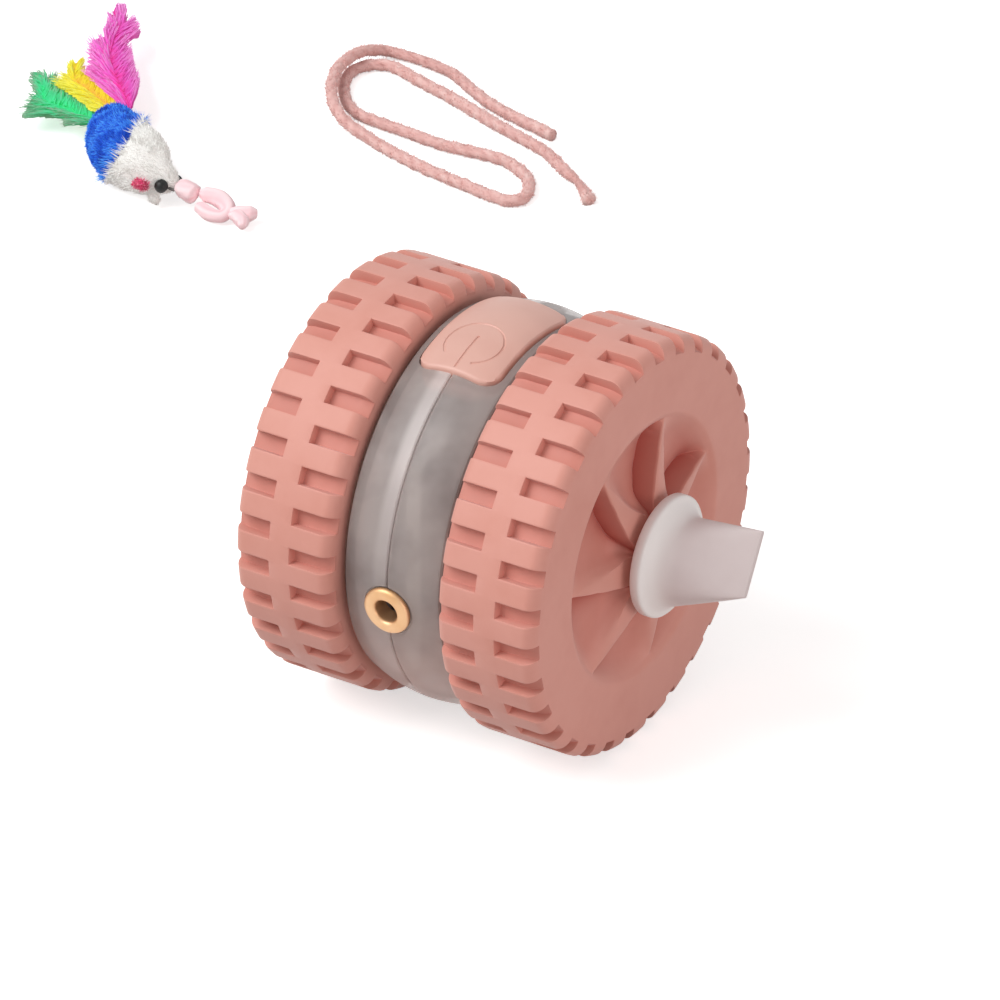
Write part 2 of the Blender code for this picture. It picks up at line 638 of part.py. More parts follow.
def wheel(side, parent, turn):
    """Tyre, rim, axle, wheel gear and hub plug of one wheel, and the bush that carries it."""
    lay = (0.0, 90.0, 0.0)
    axle_bore = AXLE_R + GAP
    rod(f"{side}_axle", AXLE_R, AXLE_IN_X, AXLE_OUT_X, STEEL, parent, turn=lay)
    outline = gear_outline(WHEEL_TEETH, axle_bore)
    plate(f"{side}_wheel_gear", outline, GEAR_T, WHITE_NYLON, parent,
          place=(GEAR_X + GEAR_T / 2, 0.0, 0.0), turn=UPRIGHT)

    bush_in = AXLE_R + RUN_GAP
    bush_out = bush_in + BUSH_WALL
    wall_face = DRUM_END_X - SHELL_WALL - GAP
    bush_end = wall_face - BUSH_FLANGE_T
    bush = [(bush_in, DRUM_END_X + BUSH_NOSE), (bush_out, DRUM_END_X + BUSH_NOSE), (bush_out, wall_face),
            (BUSH_FLANGE_R, wall_face), (BUSH_FLANGE_R, bush_end), (bush_in, bush_end)]
    turned(f"{side}_bush", bush, BORE_SIDES, BRASS, parent, turn=lay)

    rim_r = TYRE_BORE_R - GAP
    web_in = RIM_WEB_X - RIM_WEB
    boss_end = FLANGE_BACK_X - GAP
    rim = [(axle_bore, boss_end), (HUB_BOSS_R, boss_end), (HUB_BOSS_R, RIM_WEB_X), (rim_r, RIM_WEB_X),
           (rim_r, RIM_IN_X), (rim_r - RIM_WALL, RIM_IN_X), (rim_r - RIM_WALL, web_in),
           (HUB_BOSS_R, web_in), (HUB_BOSS_R, web_in - HUB_BOSS_RISE), (axle_bore, web_in - HUB_BOSS_RISE)]
    turned(f"{side}_rim", rim, RIM_SIDES, PINK_PLASTIC, parent, turn=lay)

    tyre(side, parent, turn)
    hub_plug(side, parent)


def tyre(side, parent, turn):
    """Rubber tyre with two staggered rows of notches and a dished face with swept ridges."""
    lay = (0.0, 90.0, 0.0)
    side_r = CROWN_R - SHOULDER_DROP
    hole = HUB_BOSS_R + GAP
    back = RIM_WEB_X + GAP
    profile = [(hole, DISH_HUB_X), (RIDGE_HUB_R, DISH_HUB_X), (DISH_FLOOR_R, DISH_FLOOR_X)]
    profile += [(DISH_R - DISH_ROUND, TYRE_OUT_X - DISH_ROUND), (DISH_R, TYRE_OUT_X)]
    profile += shoulder(side_r, TYRE_OUT_X, -1.0)
    profile += list(reversed(shoulder(side_r, TYRE_IN_X, 1.0)))
    profile += [(TYRE_BORE_R, TYRE_IN_X), (TYRE_BORE_R, back), (hole, back)]
    item = turned(f"{side}_tyre", profile, TYRE_STEPS, PINK_RUBBER, parent, turn=lay)
    boolean(item, ridges(side, parent), "UNION")
    boolean(item, notches(side, parent, turn))


def shoulder(side_r, face_x, inward):
    """Rounded shoulder from a side face to the crown."""
    points = []
    for i in range(3):
        angle = radians(45.0 * i)
        run = SHOULDER_RUN * (1 - cos(angle))
        points.append((side_r + SHOULDER_DROP * sin(angle), face_x + inward * run))
    return points


def notches(side, parent, turn):
    """Cutter for both rows of notches, staggered by half a pitch."""
    mesh = bmesh.new()
    pitch = 2 * pi / NOTCH_COUNT
    floor_r = CROWN_R - NOTCH_DEPTH
    high = NOTCH_DEPTH + OVERRUN
    width = pitch * NOTCH_SHARE * CROWN_R
    rows = [
        (BAND_MIDDLE_X + BAND_W / 2, TYRE_OUT_X + OVERRUN, 0.0),
        (TYRE_IN_X - OVERRUN, BAND_MIDDLE_X - BAND_W / 2, 0.5),
    ]
    for low, far, stagger in rows:
        for i in range(NOTCH_COUNT):
            spin = Matrix.Rotation(radians(turn) + pitch * (i + stagger), 4, "X")
            place = Matrix.Translation(((low + far) / 2, -(floor_r + high / 2), 0.0))
            size = Matrix.Diagonal((far - low, high, width, 1.0))
            bmesh.ops.create_cube(mesh, size=1.0, matrix=spin @ place @ size)
    data = bpy.data.meshes.new(f"{side}_notches")
    mesh.to_mesh(data)
    mesh.free()
    return as_cutter(add(f"{side}_notches", data, PINK_RUBBER, parent))


def ridge_outline():
    """Outline of one swept ridge, wide at the hub and narrow at the dish's edge."""
    tip_r = DISH_R - DISH_ROUND / 2
    near = []
    far = []
    for i in range(RIDGE_POINTS):
        share = i / (RIDGE_POINTS - 1)
        radius = RIDGE_ROOT_R + (tip_r - RIDGE_ROOT_R) * share
        angle = -radians(RIDGE_SWEEP) * (1 - share)
        half = (RIDGE_ROOT_W + (RIDGE_TIP_W - RIDGE_ROOT_W) * share) / 2
        middle = Vector((radius * cos(angle), radius * sin(angle)))
        out = Vector((-sin(angle), cos(angle)))
        near.append(tuple(middle - out * half))
        far.append(tuple(middle + out * half))
    return near + list(reversed(far))


def ridges(side, parent):
    """Swept ridges of the dished face, whose crests slope down from the hub."""
    tall = RIDGE_HUB_X + OVERRUN - RIDGE_LOW_X
    outlines = []
    for i in range(RIDGE_COUNT):
        spin = pi - radians(RIDGE_TURN) + 2 * pi * i / RIDGE_COUNT
        outline = []
        for along, across in ridge_outline():
            outline.append((along * cos(spin) - across * sin(spin), along * sin(spin) + across * cos(spin)))
        outlines.append(outline)
    flat = plate(f"{side}_ridges", outlines, tall, PINK_RUBBER, parent,
                 place=(RIDGE_LOW_X + tall / 2, 0.0, 0.0), turn=UPRIGHT)
    tools = as_cutter(as_mesh(flat))
    crest = [(0.0, RIDGE_HUB_X), (RIDGE_ROOT_R, RIDGE_HUB_X), (DISH_R, RIDGE_TIP_X), (DISH_R, 0.0),
             (0.0, 0.0)]
    limit = turned(f"{side}_ridge_crest", crest, TYRE_STEPS, PINK_RUBBER, parent, False,
                   turn=(0.0, 90.0, 0.0))
    boolean(tools, as_cutter(limit), "INTERSECT")
    return tools


def as_mesh(item):
    """Replace a curve piece by the same piece as a welded mesh."""
    bpy.context.view_layer.update()
    graph = bpy.context.evaluated_depsgraph_get()
    data = bpy.data.meshes.new_from_object(item.evaluated_get(graph))
    mesh = bmesh.new()
    mesh.from_mesh(data)
    bmesh.ops.remove_doubles(mesh, verts=mesh.verts, dist=WELD)
    bmesh.ops.recalc_face_normals(mesh, faces=mesh.faces)
    mesh.to_mesh(data)
    mesh.free()
    name = item.name
    copy = bpy.data.objects.new(name, data)
    TOY.objects.link(copy)
    copy.parent = item.parent
    copy.location = item.location
    copy.rotation_euler = item.rotation_euler
    bpy.data.objects.remove(item, do_unlink=True)
    copy.name = name
    return copy


def hub_plug(side, parent):
    """Round flange with a peg: a blunt cap on the left wheel, drawn out into a flat blade on the right one."""
    lay = (0.0, 90.0, 0.0)
    edge_x = FLANGE_BACK_X + FLANGE_EDGE
    back = FLANGE_BACK_X
    profile = [(0.0, BLADE_ROOT_X), (BLADE_ROOT_R, BLADE_ROOT_X),
               (FLANGE_R - 2 * FLANGE_ROUND, edge_x + FLANGE_ROUND), (FLANGE_R, edge_x - FLANGE_ROUND),
               (FLANGE_R, back + FLANGE_ROUND), (FLANGE_R - FLANGE_ROUND, back),
               (AXLE_R, back), (AXLE_R, PEG_END_X), (0.0, PEG_END_X)]
    item = turned(HUB_PLUGS[side], profile, BLADE_SIDES, GREY_PLASTIC, parent, False, turn=lay)
    if side == "right":
        boolean(item, blade(side, parent), "UNION")


def blade_ring(share):
    """Section of the blade at a share of its length: round at the root, flat at the end."""
    root = BLADE_ROOT_R - GAP
    high = root + (BLADE_END_HIGH - root) * share
    low = root + (BLADE_END_LOW - root) * share
    half_t = root + (BLADE_END_T / 2 - root) * share
    power = 1.0 - 0.75 * share
    ring = []
    for i in range(BLADE_SIDES):
        angle = 2 * pi * (i + 0.5) / BLADE_SIDES
        up, out = cos(angle), sin(angle)
        width = abs(up) ** power * (high if up > 0 else -low)
        thick = abs(out) ** power * half_t * (1 if out > 0 else -1)
        ring.append((width, thick))
    return ring


def blade(side, parent):
    """Blade drawn out from a round root to a thin straight end."""
    mesh = bmesh.new()
    start = BLADE_ROOT_X - FLANGE_EDGE
    rings = []
    shares = [-1.0] + [i / (BLADE_RINGS - 1) for i in range(BLADE_RINGS)]
    for share in shares:
        height = start if share < 0 else BLADE_ROOT_X + (BLADE_END_X - BLADE_ROOT_X) * share
        section = blade_ring(max(share, 0.0))
        rings.append([mesh.verts.new((-width, thick, height)) for width, thick in section])
    for low, high in zip(rings, rings[1:]):
        for i in range(BLADE_SIDES):
            j = (i + 1) % BLADE_SIDES
            mesh.faces.new((low[i], low[j], high[j], high[i]))
    mesh.faces.new(rings[0])
    mesh.faces.new(rings[-1])
    bmesh.ops.recalc_face_normals(mesh, faces=mesh.faces)
    data = bpy.data.meshes.new(f"{side}_blade")
    mesh.to_mesh(data)
    mesh.free()
    smooth(data)
    carrier = empty(f"{side}_blade_frame", parent, turn=(-BLADE_TILT, 0.0, 0.0))
    return as_cutter(add(f"{side}_blade", data, GREY_PLASTIC, carrier, turn=(0.0, 90.0, 0.0)))


def power_button(parent, shells, board_top):
    """Curved button cap with a retaining lip and a stem over the switch."""
    tilt = 90.0 - BUTTON_ANGLE
    frame = empty("button_frame", parent, turn=(tilt, 0.0, 0.0))
    lay = (0.0, 90.0, 0.0)
    half = BARREL_HALF - BARREL_CORNER / 2
    inner = -(SHELL_WALL + GAP + LIP_T)
    cap_ring = [(barrel_radius(x) + BUTTON_PROUD, x) for x in sweep(half, -half)]
    cap_ring += [(barrel_radius(x) + inner, x) for x in sweep(-half, half)]
    lip_ring = [(barrel_radius(x) - SHELL_WALL - GAP, x) for x in sweep(half, -half)]
    lip_ring += [(barrel_radius(x) + inner, x) for x in sweep(-half, half)]
    tall = 2 * (SEAM_R - DRUM_R)
    centre = (0.0, 0.0, SEAM_R)
    cap_size = (BUTTON_W, BUTTON_L, tall)
    lip_size = (LIP_W, BUTTON_L + 2 * LIP_REACH, tall)
    window_size = (BUTTON_W + 2 * GAP, BUTTON_L + 2 * GAP, tall)
    cap = turned("power_button", cap_ring, SHELL_STEPS, PINK_PLASTIC, frame, turn=lay)
    cap_limit = block("button_outline", cap_size, centre, PINK_PLASTIC, frame, BUTTON_CORNER, True)
    boolean(cap, as_cutter(cap_limit), "INTERSECT")
    lip = turned("button_lip", lip_ring, SHELL_STEPS, PINK_PLASTIC, frame, turn=lay)
    lip_limit = block("lip_outline", lip_size, centre, PINK_PLASTIC, frame, BUTTON_CORNER, True)
    boolean(as_cutter(lip), as_cutter(lip_limit), "INTERSECT")
    boolean(cap, lip, "UNION")
    switch_top = board_top + GAP + SWITCH_T + PLUNGER_T
    stem_top = SEAM_R - SHELL_WALL - LIP_T
    stem = rod("button_stem", STEM_R, switch_top + BUTTON_STOP, stem_top, PINK_PLASTIC, frame, PIN_SIDES)
    boolean(cap, as_cutter(stem), "UNION")
    window = block("button_window", window_size, centre, FROSTED_SHELL, frame, BUTTON_CORNER, True)
    as_cutter(window)
    for half_shell in shells:
        boolean(half_shell, window)


def sweep(start, stop):
    """Even stations across the barrel."""
    count = 2 * CROWN_POINTS - 1
    return [start + (stop - start) * i / (count - 1) for i in range(count)]


def eyelet(parent, shells):
    """Brass eyelet on the seam, clamped by both halves of the shell."""
    frame = empty("eyelet_frame", parent, turn=(90.0 - EYELET_ANGLE, 0.0, 0.0))
    seat = SEAM_R - EYELET_SEAT
    under = seat + GAP
    top = under + EYELET_T
    tail = SEAM_R - SHELL_WALL - EYELET_TAIL
    rounding = EYELET_T / 2
    inner_top = EYELET_HOLE_R + rounding
    third = rounding / 3
    profile = [(EYELET_HOLE_R, top - rounding), (EYELET_HOLE_R + third, top - third), (inner_top, top),
               (EYELET_R - rounding, top), (EYELET_R - third, top - third), (EYELET_R, top - rounding),
               (EYELET_R, under), (EYELET_TUBE_R, under), (EYELET_TUBE_R, tail), (EYELET_HOLE_R, tail)]
    turned("eyelet", profile, ROD_SIDES, BRASS, frame)
    pocket = rod("eyelet_pocket", EYELET_R + GAP, seat, SEAM_R + OVERRUN, FROSTED_SHELL, frame)
    hole = rod("eyelet_hole", EYELET_TUBE_R + GAP, SEAM_R - OVERRUN, SEAM_R + OVERRUN, FROSTED_SHELL, frame)
    for tool in (as_cutter(pocket), as_cutter(hole)):
        for half in shells:
            boolean(half, tool)


def reach_beside(radius, off):
    """How far a round of this radius reaches at a distance off its middle."""
    return sqrt(radius ** 2 - off ** 2)


def electronics(parent, shells):
    """Battery, ballast, circuit board with its switch, charging port and lamps."""
    frame_edge = SCREW_Z + BOSS_R
    cell_z = -(frame_edge + GAP + CELL_T / 2)
    block("battery", (CELL_W, CELL_L, CELL_T), (0.0, 0.0, cell_z), CELL_WRAP, parent, CELL_ROUND)
    shell_in = barrel_radius(CELL_W / 2) - SHELL_WALL
    ballast_high = cell_z - CELL_T / 2 - GAP
    ballast_t = reach_beside(shell_in - BALLAST_ROOM, BALLAST_L / 2) + ballast_high
    ballast_size = (CELL_W, BALLAST_L, ballast_t)
    block("ballast", ballast_size, (0.0, 0.0, ballast_high - ballast_t / 2), STEEL, parent, CELL_ROUND / 3)
    board_top = frame_edge + GAP + BOARD_T
    board_back = reach_beside(shell_in - BOARD_ROOM, board_top)
    board_front = board_back - BOARD_STEP
    board_y = (board_back - board_front) / 2
    board_size = (CELL_W, board_front + board_back, BOARD_T)
    block("circuit_board", board_size, (0.0, board_y, board_top - BOARD_T / 2), DARK_BOARD, parent)

    switch_low = board_top + GAP
    switch_y = -(switch_low + SWITCH_T) * tan(radians(90.0 - BUTTON_ANGLE))
    switch = block("tact_switch", (SWITCH_W, SWITCH_W, SWITCH_T), (0.0, switch_y, switch_low + SWITCH_T / 2),
                   DARK_PLASTIC, parent)
    plunger_end = switch_low + SWITCH_T + PLUNGER_T / 2
    plunger = rod("switch_plunger", PLUNGER_R, switch_low + SWITCH_T / 2, plunger_end, DARK_PLASTIC, parent,
                  PIN_SIDES, place=(0.0, switch_y, 0.0))
    boolean(switch, as_cutter(plunger), "UNION")

    port_z = board_top + GAP + PORT_T / 2
    port_end = reach_beside(barrel_radius(PORT_W / 2), port_z + PORT_T / 2)
    port_y = port_end - PORT_L / 2
    port = block("charging_port", (PORT_W, PORT_L, PORT_T), (0.0, port_y, port_z), STEEL, parent, PORT_T / 4)
    mouth_size = (PORT_W - 2 * PORT_WALL, PORT_L, PORT_T - 2 * PORT_WALL)
    mouth = block("port_mouth", mouth_size, (0.0, port_y + PORT_L / 4, port_z), STEEL, parent)
    boolean(port, as_cutter(mouth))
    slot_size = (PORT_W + 2 * GAP, PORT_L + OVERRUN, PORT_T + 2 * GAP)
    slot_y = port_end + OVERRUN / 2 - PORT_L / 4
    slot = as_cutter(block("port_slot", slot_size, (0.0, slot_y, port_z), FROSTED_SHELL, parent))
    for half in shells:
        boolean(half, slot)

    lamp = [(0.0, LED_T), (LED_R * sin(radians(40.0)), LED_T - LED_R * (1 - cos(radians(40.0)))),
            (LED_R, LED_T - LED_R), (LED_R, 0.0), (0.0, 0.0)]
    led_y = board_front - LED_INSET
    for name, y in (("front_led", -led_y), ("rear_led", led_y)):
        turned(name, lamp, PIN_SIDES, LED_CLEAR, parent, False, place=(0.0, y, board_top + GAP))

    lead_x = CELL_W / 4
    lead_y = (FRAME_HUB_R + motor_line() - MOTOR_DEEP / 2) / 2
    low = -frame_edge
    points = [(lead_x, lead_y, low), (lead_x, lead_y, low / 2), (lead_x + LEAD_R, lead_y, 0.0),
              (lead_x, lead_y, -low / 2), (lead_x, lead_y, -low)]
    tube("battery_lead", smooth_route(points, LEAD_POINTS), LEAD_R, DARK_PLASTIC, parent, 1)
    return board_top


def ball(name, size, centre, mat, parent, turn=(0.0, 0.0, 0.0), rings=6):
    """Make a rounded piece from a sphere; size holds its three half widths."""
    mesh = bmesh.new()
    bmesh.ops.create_uvsphere(mesh, u_segments=rings * 2, v_segments=rings, radius=1.0,
                              matrix=Matrix.Diagonal((*size, 1.0)))
    data = bpy.data.meshes.new(name)
    mesh.to_mesh(data)
    mesh.free()
    data.shade_smooth()
    return add(name, data, mat, parent, place=centre, turn=turn)


def on_mouse(shares):
    """Place on the plush mouse from shares of its radius."""
    return tuple(MOUSE_R * share for share in shares[:3])


def plush(name, mat, keep_front, frame):
    """One end of the plush body, cut off at the border between its two colours."""
    points = [on_mouse(station) for station in MOUSE_SHARES]
    swell = [station[3] for station in MOUSE_SHARES]
    item = as_mesh(tube(name, points, MOUSE_R, mat, frame, MOUSE_SIDES, swell))
    smooth(item.data, 60.0)
    border = empty(f"{name}_border", frame, on_mouse(BORDER_SHARES), (0.0, BORDER_DIP, BORDER_HEADING))
    size = 8 * MOUSE_R
    side = -1.0 if keep_front else 1.0
    cut = block(f"{name}_cut", (size, size, size), (side * (size - GAP) / 2, 0.0, 0.0), mat, border)
    boolean(item, as_cutter(cut))
    return item


def mouse():
    """Plush mouse that lies beside the toy, with feathers for a tail and a tie at its nose."""
    frame = empty("mouse_place", None, (MOUSE_X, MOUSE_Y, 0.0))
    body = plush("mouse_body", WHITE_PLUSH, True, frame)
    rump = plush("mouse_rump", BLUE_PLUSH, False, frame)
    for side in ("right", "left"):
        details = [("eye", (EYE_R, EYE_R, EYE_R), EYE_SHARES, BLACK_BEAD, 0.0),
                   ("ear", (EAR_L / 2, EAR_T / 2, EAR_W / 2), EAR_SHARES, RED_FELT, EAR_HEADINGS[side])]
        for kind, size, shares, mat, heading in details:
            place = on_mouse(shares[side])
            turn = (0.0, 0.0, heading)
            ball(f"mouse_{kind}_{side}", size, place, mat, frame, turn)
            seat_size = [half + GAP for half in size]
            seat = ball(f"mouse_{kind}_seat_{side}", seat_size, place, WHITE_PLUSH, frame, turn)
            boolean(body, as_cutter(seat))
    feathers(rump, frame)
    tie(frame)


def feathers(rump, frame):
    """Three soft feathers that fan out from slots in the rump."""
    for colour, length in FEATHER_LENGTHS.items():
        outline = [(length * along, length * out) for along, out in FEATHER_SHARES[colour]]
        root = on_mouse(FEATHER_ROOT_SHARES[colour])
        carrier = empty(f"feather_frame_{colour}", frame, root, (0.0, FEATHER_DIP, FEATHER_HEADINGS[colour]))
        plate(f"feather_{colour}", [outline], FEATHER_T, FEATHER_FINISH[colour], carrier)
        slot_size = (FEATHER_SLOT_L, FEATHER_SLOT_W, FEATHER_T + 2 * GAP)
        slot = block(f"feather_slot_{colour}", slot_size, (0.0, 0.0, 0.0), BLUE_PLUSH, carrier)
        boolean(rump, as_cutter(slot))


def tie(frame):
    """Pale pink tie at the nose: a collar, a loop and a knot with two ends."""
    collar_size = (COLLAR_L / 2, COLLAR_W / 2, COLLAR_W / 2)
    ball("mouse_tie_collar", collar_size, on_mouse(COLLAR_SHARES), PALE_PINK, frame)
    tube("mouse_tie_loop", [on_mouse(place) for place in TIE_SHARES], TIE_R, PALE_PINK, frame, 1)
    size = (KNOT_R, KNOT_R, KNOT_R)
    knot = ball("mouse_tie_knot", size, on_mouse(KNOT_SHARES[0]), PALE_PINK, frame)
    for i, place in enumerate(KNOT_SHARES[1:]):
        end = ball(f"knot_end_{i}", size, on_mouse(place), PALE_PINK, frame, (0.0, 0.0, BORDER_DIP))
        boolean(knot, as_cutter(end), "UNION")


def least_gap(points, diameter):
    """Least gap between two stretches of a cord that are not neighbours along it."""
    apart = int(pi * diameter / (points[1] - points[0]).length) + 1
    gaps = []
    for i, here in enumerate(points):
        for there in points[i + apart:]:
            gaps.append((there - here).length - diameter)
    return min(gaps)


def rope():
    """Soft rope that lies in a loose loop beside the toy."""
    tube("rope", smooth_route(ROPE_ROUTE, ROPE_POINTS), ROPE_D / 2, PINK_CORD, None)
    gap = least_gap(smooth_route(ROPE_ROUTE, ROPE_POINTS * ROUTE_STEPS), ROPE_D)
    print(f"least gap of the rope to itself: {gap * 1000:.2f} mm")


def build():
    """Build every piece of the toy, the mouse and the rope."""
    clear_scene()
    toy = empty("axle_line", None, (0.0, 0.0, AXLE_H))
    shells = []
    for side, yaw, turn in (("right", 0.0, RIGHT_TURN), ("left", 180.0, LEFT_TURN)):
        frame = empty(f"{side}_side", toy, turn=(0.0, 0.0, yaw))
        shells.append(shell(side, frame))
        drive(side, frame)
        wheel(side, frame, turn)
    case_screws(toy)
    motor_frame(toy)
    board_top = electronics(toy, shells)
    power_button(toy, shells, board_top)
    eyelet(toy, shells)
    mouse()
    rope()


build()
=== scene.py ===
"""Picture scene of the automatic mouse wheel cat toy, with its plush mouse and its rope.

Lengths are in millimetres unless a name or a comment says metres, and angles are in degrees. Angles
round the axle are measured from the front (-Y) towards the top (+Z). The left wheel is the right one turned
half round about the upright through the middle of the toy, with a plain cap in place of the paddle.
"""
from __future__ import annotations

import logging
import math
from dataclasses import dataclass
from enum import Enum
from typing import Any, Iterable, Sequence

import bmesh
import bpy
import numpy as np
from mathutils import Matrix, Vector, noise

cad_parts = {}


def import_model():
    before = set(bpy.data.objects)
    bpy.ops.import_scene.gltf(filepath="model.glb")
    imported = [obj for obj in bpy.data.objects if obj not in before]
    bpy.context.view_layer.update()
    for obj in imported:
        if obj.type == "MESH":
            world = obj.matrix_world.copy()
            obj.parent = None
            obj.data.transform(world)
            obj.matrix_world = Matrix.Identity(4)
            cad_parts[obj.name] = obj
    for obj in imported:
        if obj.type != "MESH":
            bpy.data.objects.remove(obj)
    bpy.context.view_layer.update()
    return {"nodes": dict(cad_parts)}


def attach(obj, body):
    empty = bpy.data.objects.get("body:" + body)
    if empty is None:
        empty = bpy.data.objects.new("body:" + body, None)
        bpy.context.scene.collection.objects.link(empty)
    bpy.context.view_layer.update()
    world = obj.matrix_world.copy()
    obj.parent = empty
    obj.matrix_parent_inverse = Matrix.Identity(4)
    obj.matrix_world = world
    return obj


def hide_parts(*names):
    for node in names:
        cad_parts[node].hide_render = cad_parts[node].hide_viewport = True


LOG = logging.getLogger("cat_toy")
METRES = 0.001
AXLE_H = 40.0
WHEEL_TURNS = {"right": -7.3, "left": -1.8}
Faces = list[tuple[int, ...]]


def linear(colour: str) -> tuple[float, float, float, float]:
    """Turn an sRGB hex colour into a linear one.

    Args:
        colour: Colour as #rrggbb.

    Returns:
        The linear red, green, blue and an alpha of 1.
    """
    parts = [int(colour[i:i + 2], 16) / 255 for i in (1, 3, 5)]
    red, green, blue = (c / 12.92 if c <= 0.04045 else ((c + 0.055) / 1.055) ** 2.4 for c in parts)
    return (red, green, blue, 1.0)


def add_node(tree: bpy.types.NodeTree, kind: str, settings: dict[Any, Any] | None = None,
             links: dict[Any, bpy.types.NodeSocket] | None = None) -> bpy.types.Node:
    """Add one node with its settings and links.

    Args:
        tree: Node tree of the material or the world.
        kind: Type of the node.
        settings: Values by input name, input number or property name.
        links: Sockets that feed the node's inputs, by input name or number.

    Returns:
        The new node.
    """
    node = tree.nodes.new(kind)
    for name, value in (settings or {}).items():
        if isinstance(name, int) or name in node.inputs:
            node.inputs[name].default_value = value
        else:
            setattr(node, name, value)
    for name, socket in (links or {}).items():
        tree.links.new(socket, node.inputs[name])
    return node


class Slot(Enum):
    """Material slots of the record, one for each finish of the new pieces."""

    RUBBER = "pink_rubber"
    BUTTON = "pink_plastic"
    PADDLE = "grey_plastic"
    SHELL = "frosted_shell"
    BRASS = "brass"
    WHITE_FUR = "white_plush"
    BLUE_FUR = "blue_plush"
    BEAD = "black_bead"
    FELT = "red_felt"
    CORD = "pink_cord"
    TIE = "pale_pink"
    MAGENTA = "magenta_feather"
    YELLOW = "yellow_feather"
    GREEN = "green_feather"


@dataclass(frozen=True)
class Moulded:
    """A moulded or machined solid: slow mottling of its colour and a fine grain from its mould or tool."""

    name: str
    colour: str
    shade: str
    roughness: float
    metallic: float = 0.0
    ior: float = 1.5
    mottle_mm: float = 9.0
    grain_mm: float = 0.35
    grain_depth_mm: float = 0.004
    clear: float = 0.0
    coat: float = 0.0
    sheen: float = 0.0
    alpha: float = 1.0
    scatter: float = 0.0
    glow: float = 0.0

    def material(self) -> bpy.types.Material:
        """Build the node tree once and return the material."""
        known = bpy.data.materials.get(self.name)
        if known:
            return known
        mat = bpy.data.materials.new(self.name)
        mat.use_nodes = True
        tree = mat.node_tree
        shader = tree.nodes["Principled BSDF"]
        shader.inputs["Metallic"].default_value = self.metallic
        if not self.metallic:
            shader.inputs["IOR"].default_value = self.ior
        shader.inputs["Transmission Weight"].default_value = self.clear
        shader.inputs["Coat Weight"].default_value = self.coat
        shader.inputs["Sheen Weight"].default_value = self.sheen
        shader.inputs["Alpha"].default_value = self.alpha
        shader.inputs["Subsurface Weight"].default_value = self.scatter
        shader.inputs["Subsurface Scale"].default_value = 2.0 * METRES
        # painted light: a faint glow in the piece's own colour
        shader.inputs["Emission Color"].default_value = linear(self.colour)
        shader.inputs["Emission Strength"].default_value = self.glow
        place = add_node(tree, "ShaderNodeTexCoord").outputs["Object"]
        cloud = add_node(tree, "ShaderNodeTexNoise", {"Scale": 1 / (self.mottle_mm * METRES), "Detail": 3.0,
                                                      "Roughness": 0.55}, {"Vector": place})
        mix = add_node(tree, "ShaderNodeMix",
                       {"data_type": "RGBA", 6: linear(self.shade), 7: linear(self.colour)})
        ease = add_node(tree, "ShaderNodeMapRange", {"From Min": 0.3, "From Max": 0.6},
                        {"Value": cloud.outputs[0]})
        tree.links.new(ease.outputs[0], mix.inputs[0])
        tree.links.new(mix.outputs[2], shader.inputs["Base Color"])
        polish = add_node(tree, "ShaderNodeMapRange",
                          {"To Min": self.roughness - 0.05, "To Max": self.roughness + 0.05},
                          {"Value": cloud.outputs[0]})
        tree.links.new(polish.outputs[0], shader.inputs["Roughness"])
        self.surface(tree, shader, place)
        self.dye(tree, shader, place)
        return mat

    def dye(self, tree: bpy.types.NodeTree, shader: bpy.types.Node, place: bpy.types.NodeSocket) -> None:
        """Change the colour of the finished node tree; a plain moulding keeps its own.

        Args:
            tree: Node tree of the material.
            shader: Its Principled shader.
            place: Socket with the place on the object.
        """

    def surface(self, tree: bpy.types.NodeTree, shader: bpy.types.Node, place: bpy.types.NodeSocket) -> None:
        """Give the surface its fine grain.

        Args:
            tree: Node tree of the material.
            shader: Its Principled shader.
            place: Socket with the place on the object.
        """
        grain = add_node(tree, "ShaderNodeTexNoise", {"Scale": 1 / (self.grain_mm * METRES), "Detail": 2.0},
                         {"Vector": place})
        bump = add_node(tree, "ShaderNodeBump", {"Strength": 0.6, "Distance": self.grain_depth_mm * METRES},
                        {"Height": grain.outputs[0]})
        tree.links.new(bump.outputs[0], shader.inputs["Normal"])


@dataclass(frozen=True)
class ShadePaintedMoulding(Moulded):
    """A moulding with painted shade in its hollows: the colour attribute tint says how much shade is painted
    at a point.
    """

    painted_shade_colour: str = "#808080"

    def dye(self, tree: bpy.types.NodeTree, shader: bpy.types.Node, place: bpy.types.NodeSocket) -> None:
        """Mix in the painted shade colour where the attribute tint calls for it."""
        plain = shader.inputs["Base Color"].links[0].from_socket
        # painted shade: where the tint is high, a darker colour is mixed into the base colour
        tint = add_node(tree, "ShaderNodeVertexColor", {"layer_name": "tint"})
        mix = add_node(tree, "ShaderNodeMix", {"data_type": "RGBA", 7: linear(self.painted_shade_colour)},
                       {0: tint.outputs["Color"], 6: plain})
        tree.links.new(mix.outputs[2], shader.inputs["Base Color"])


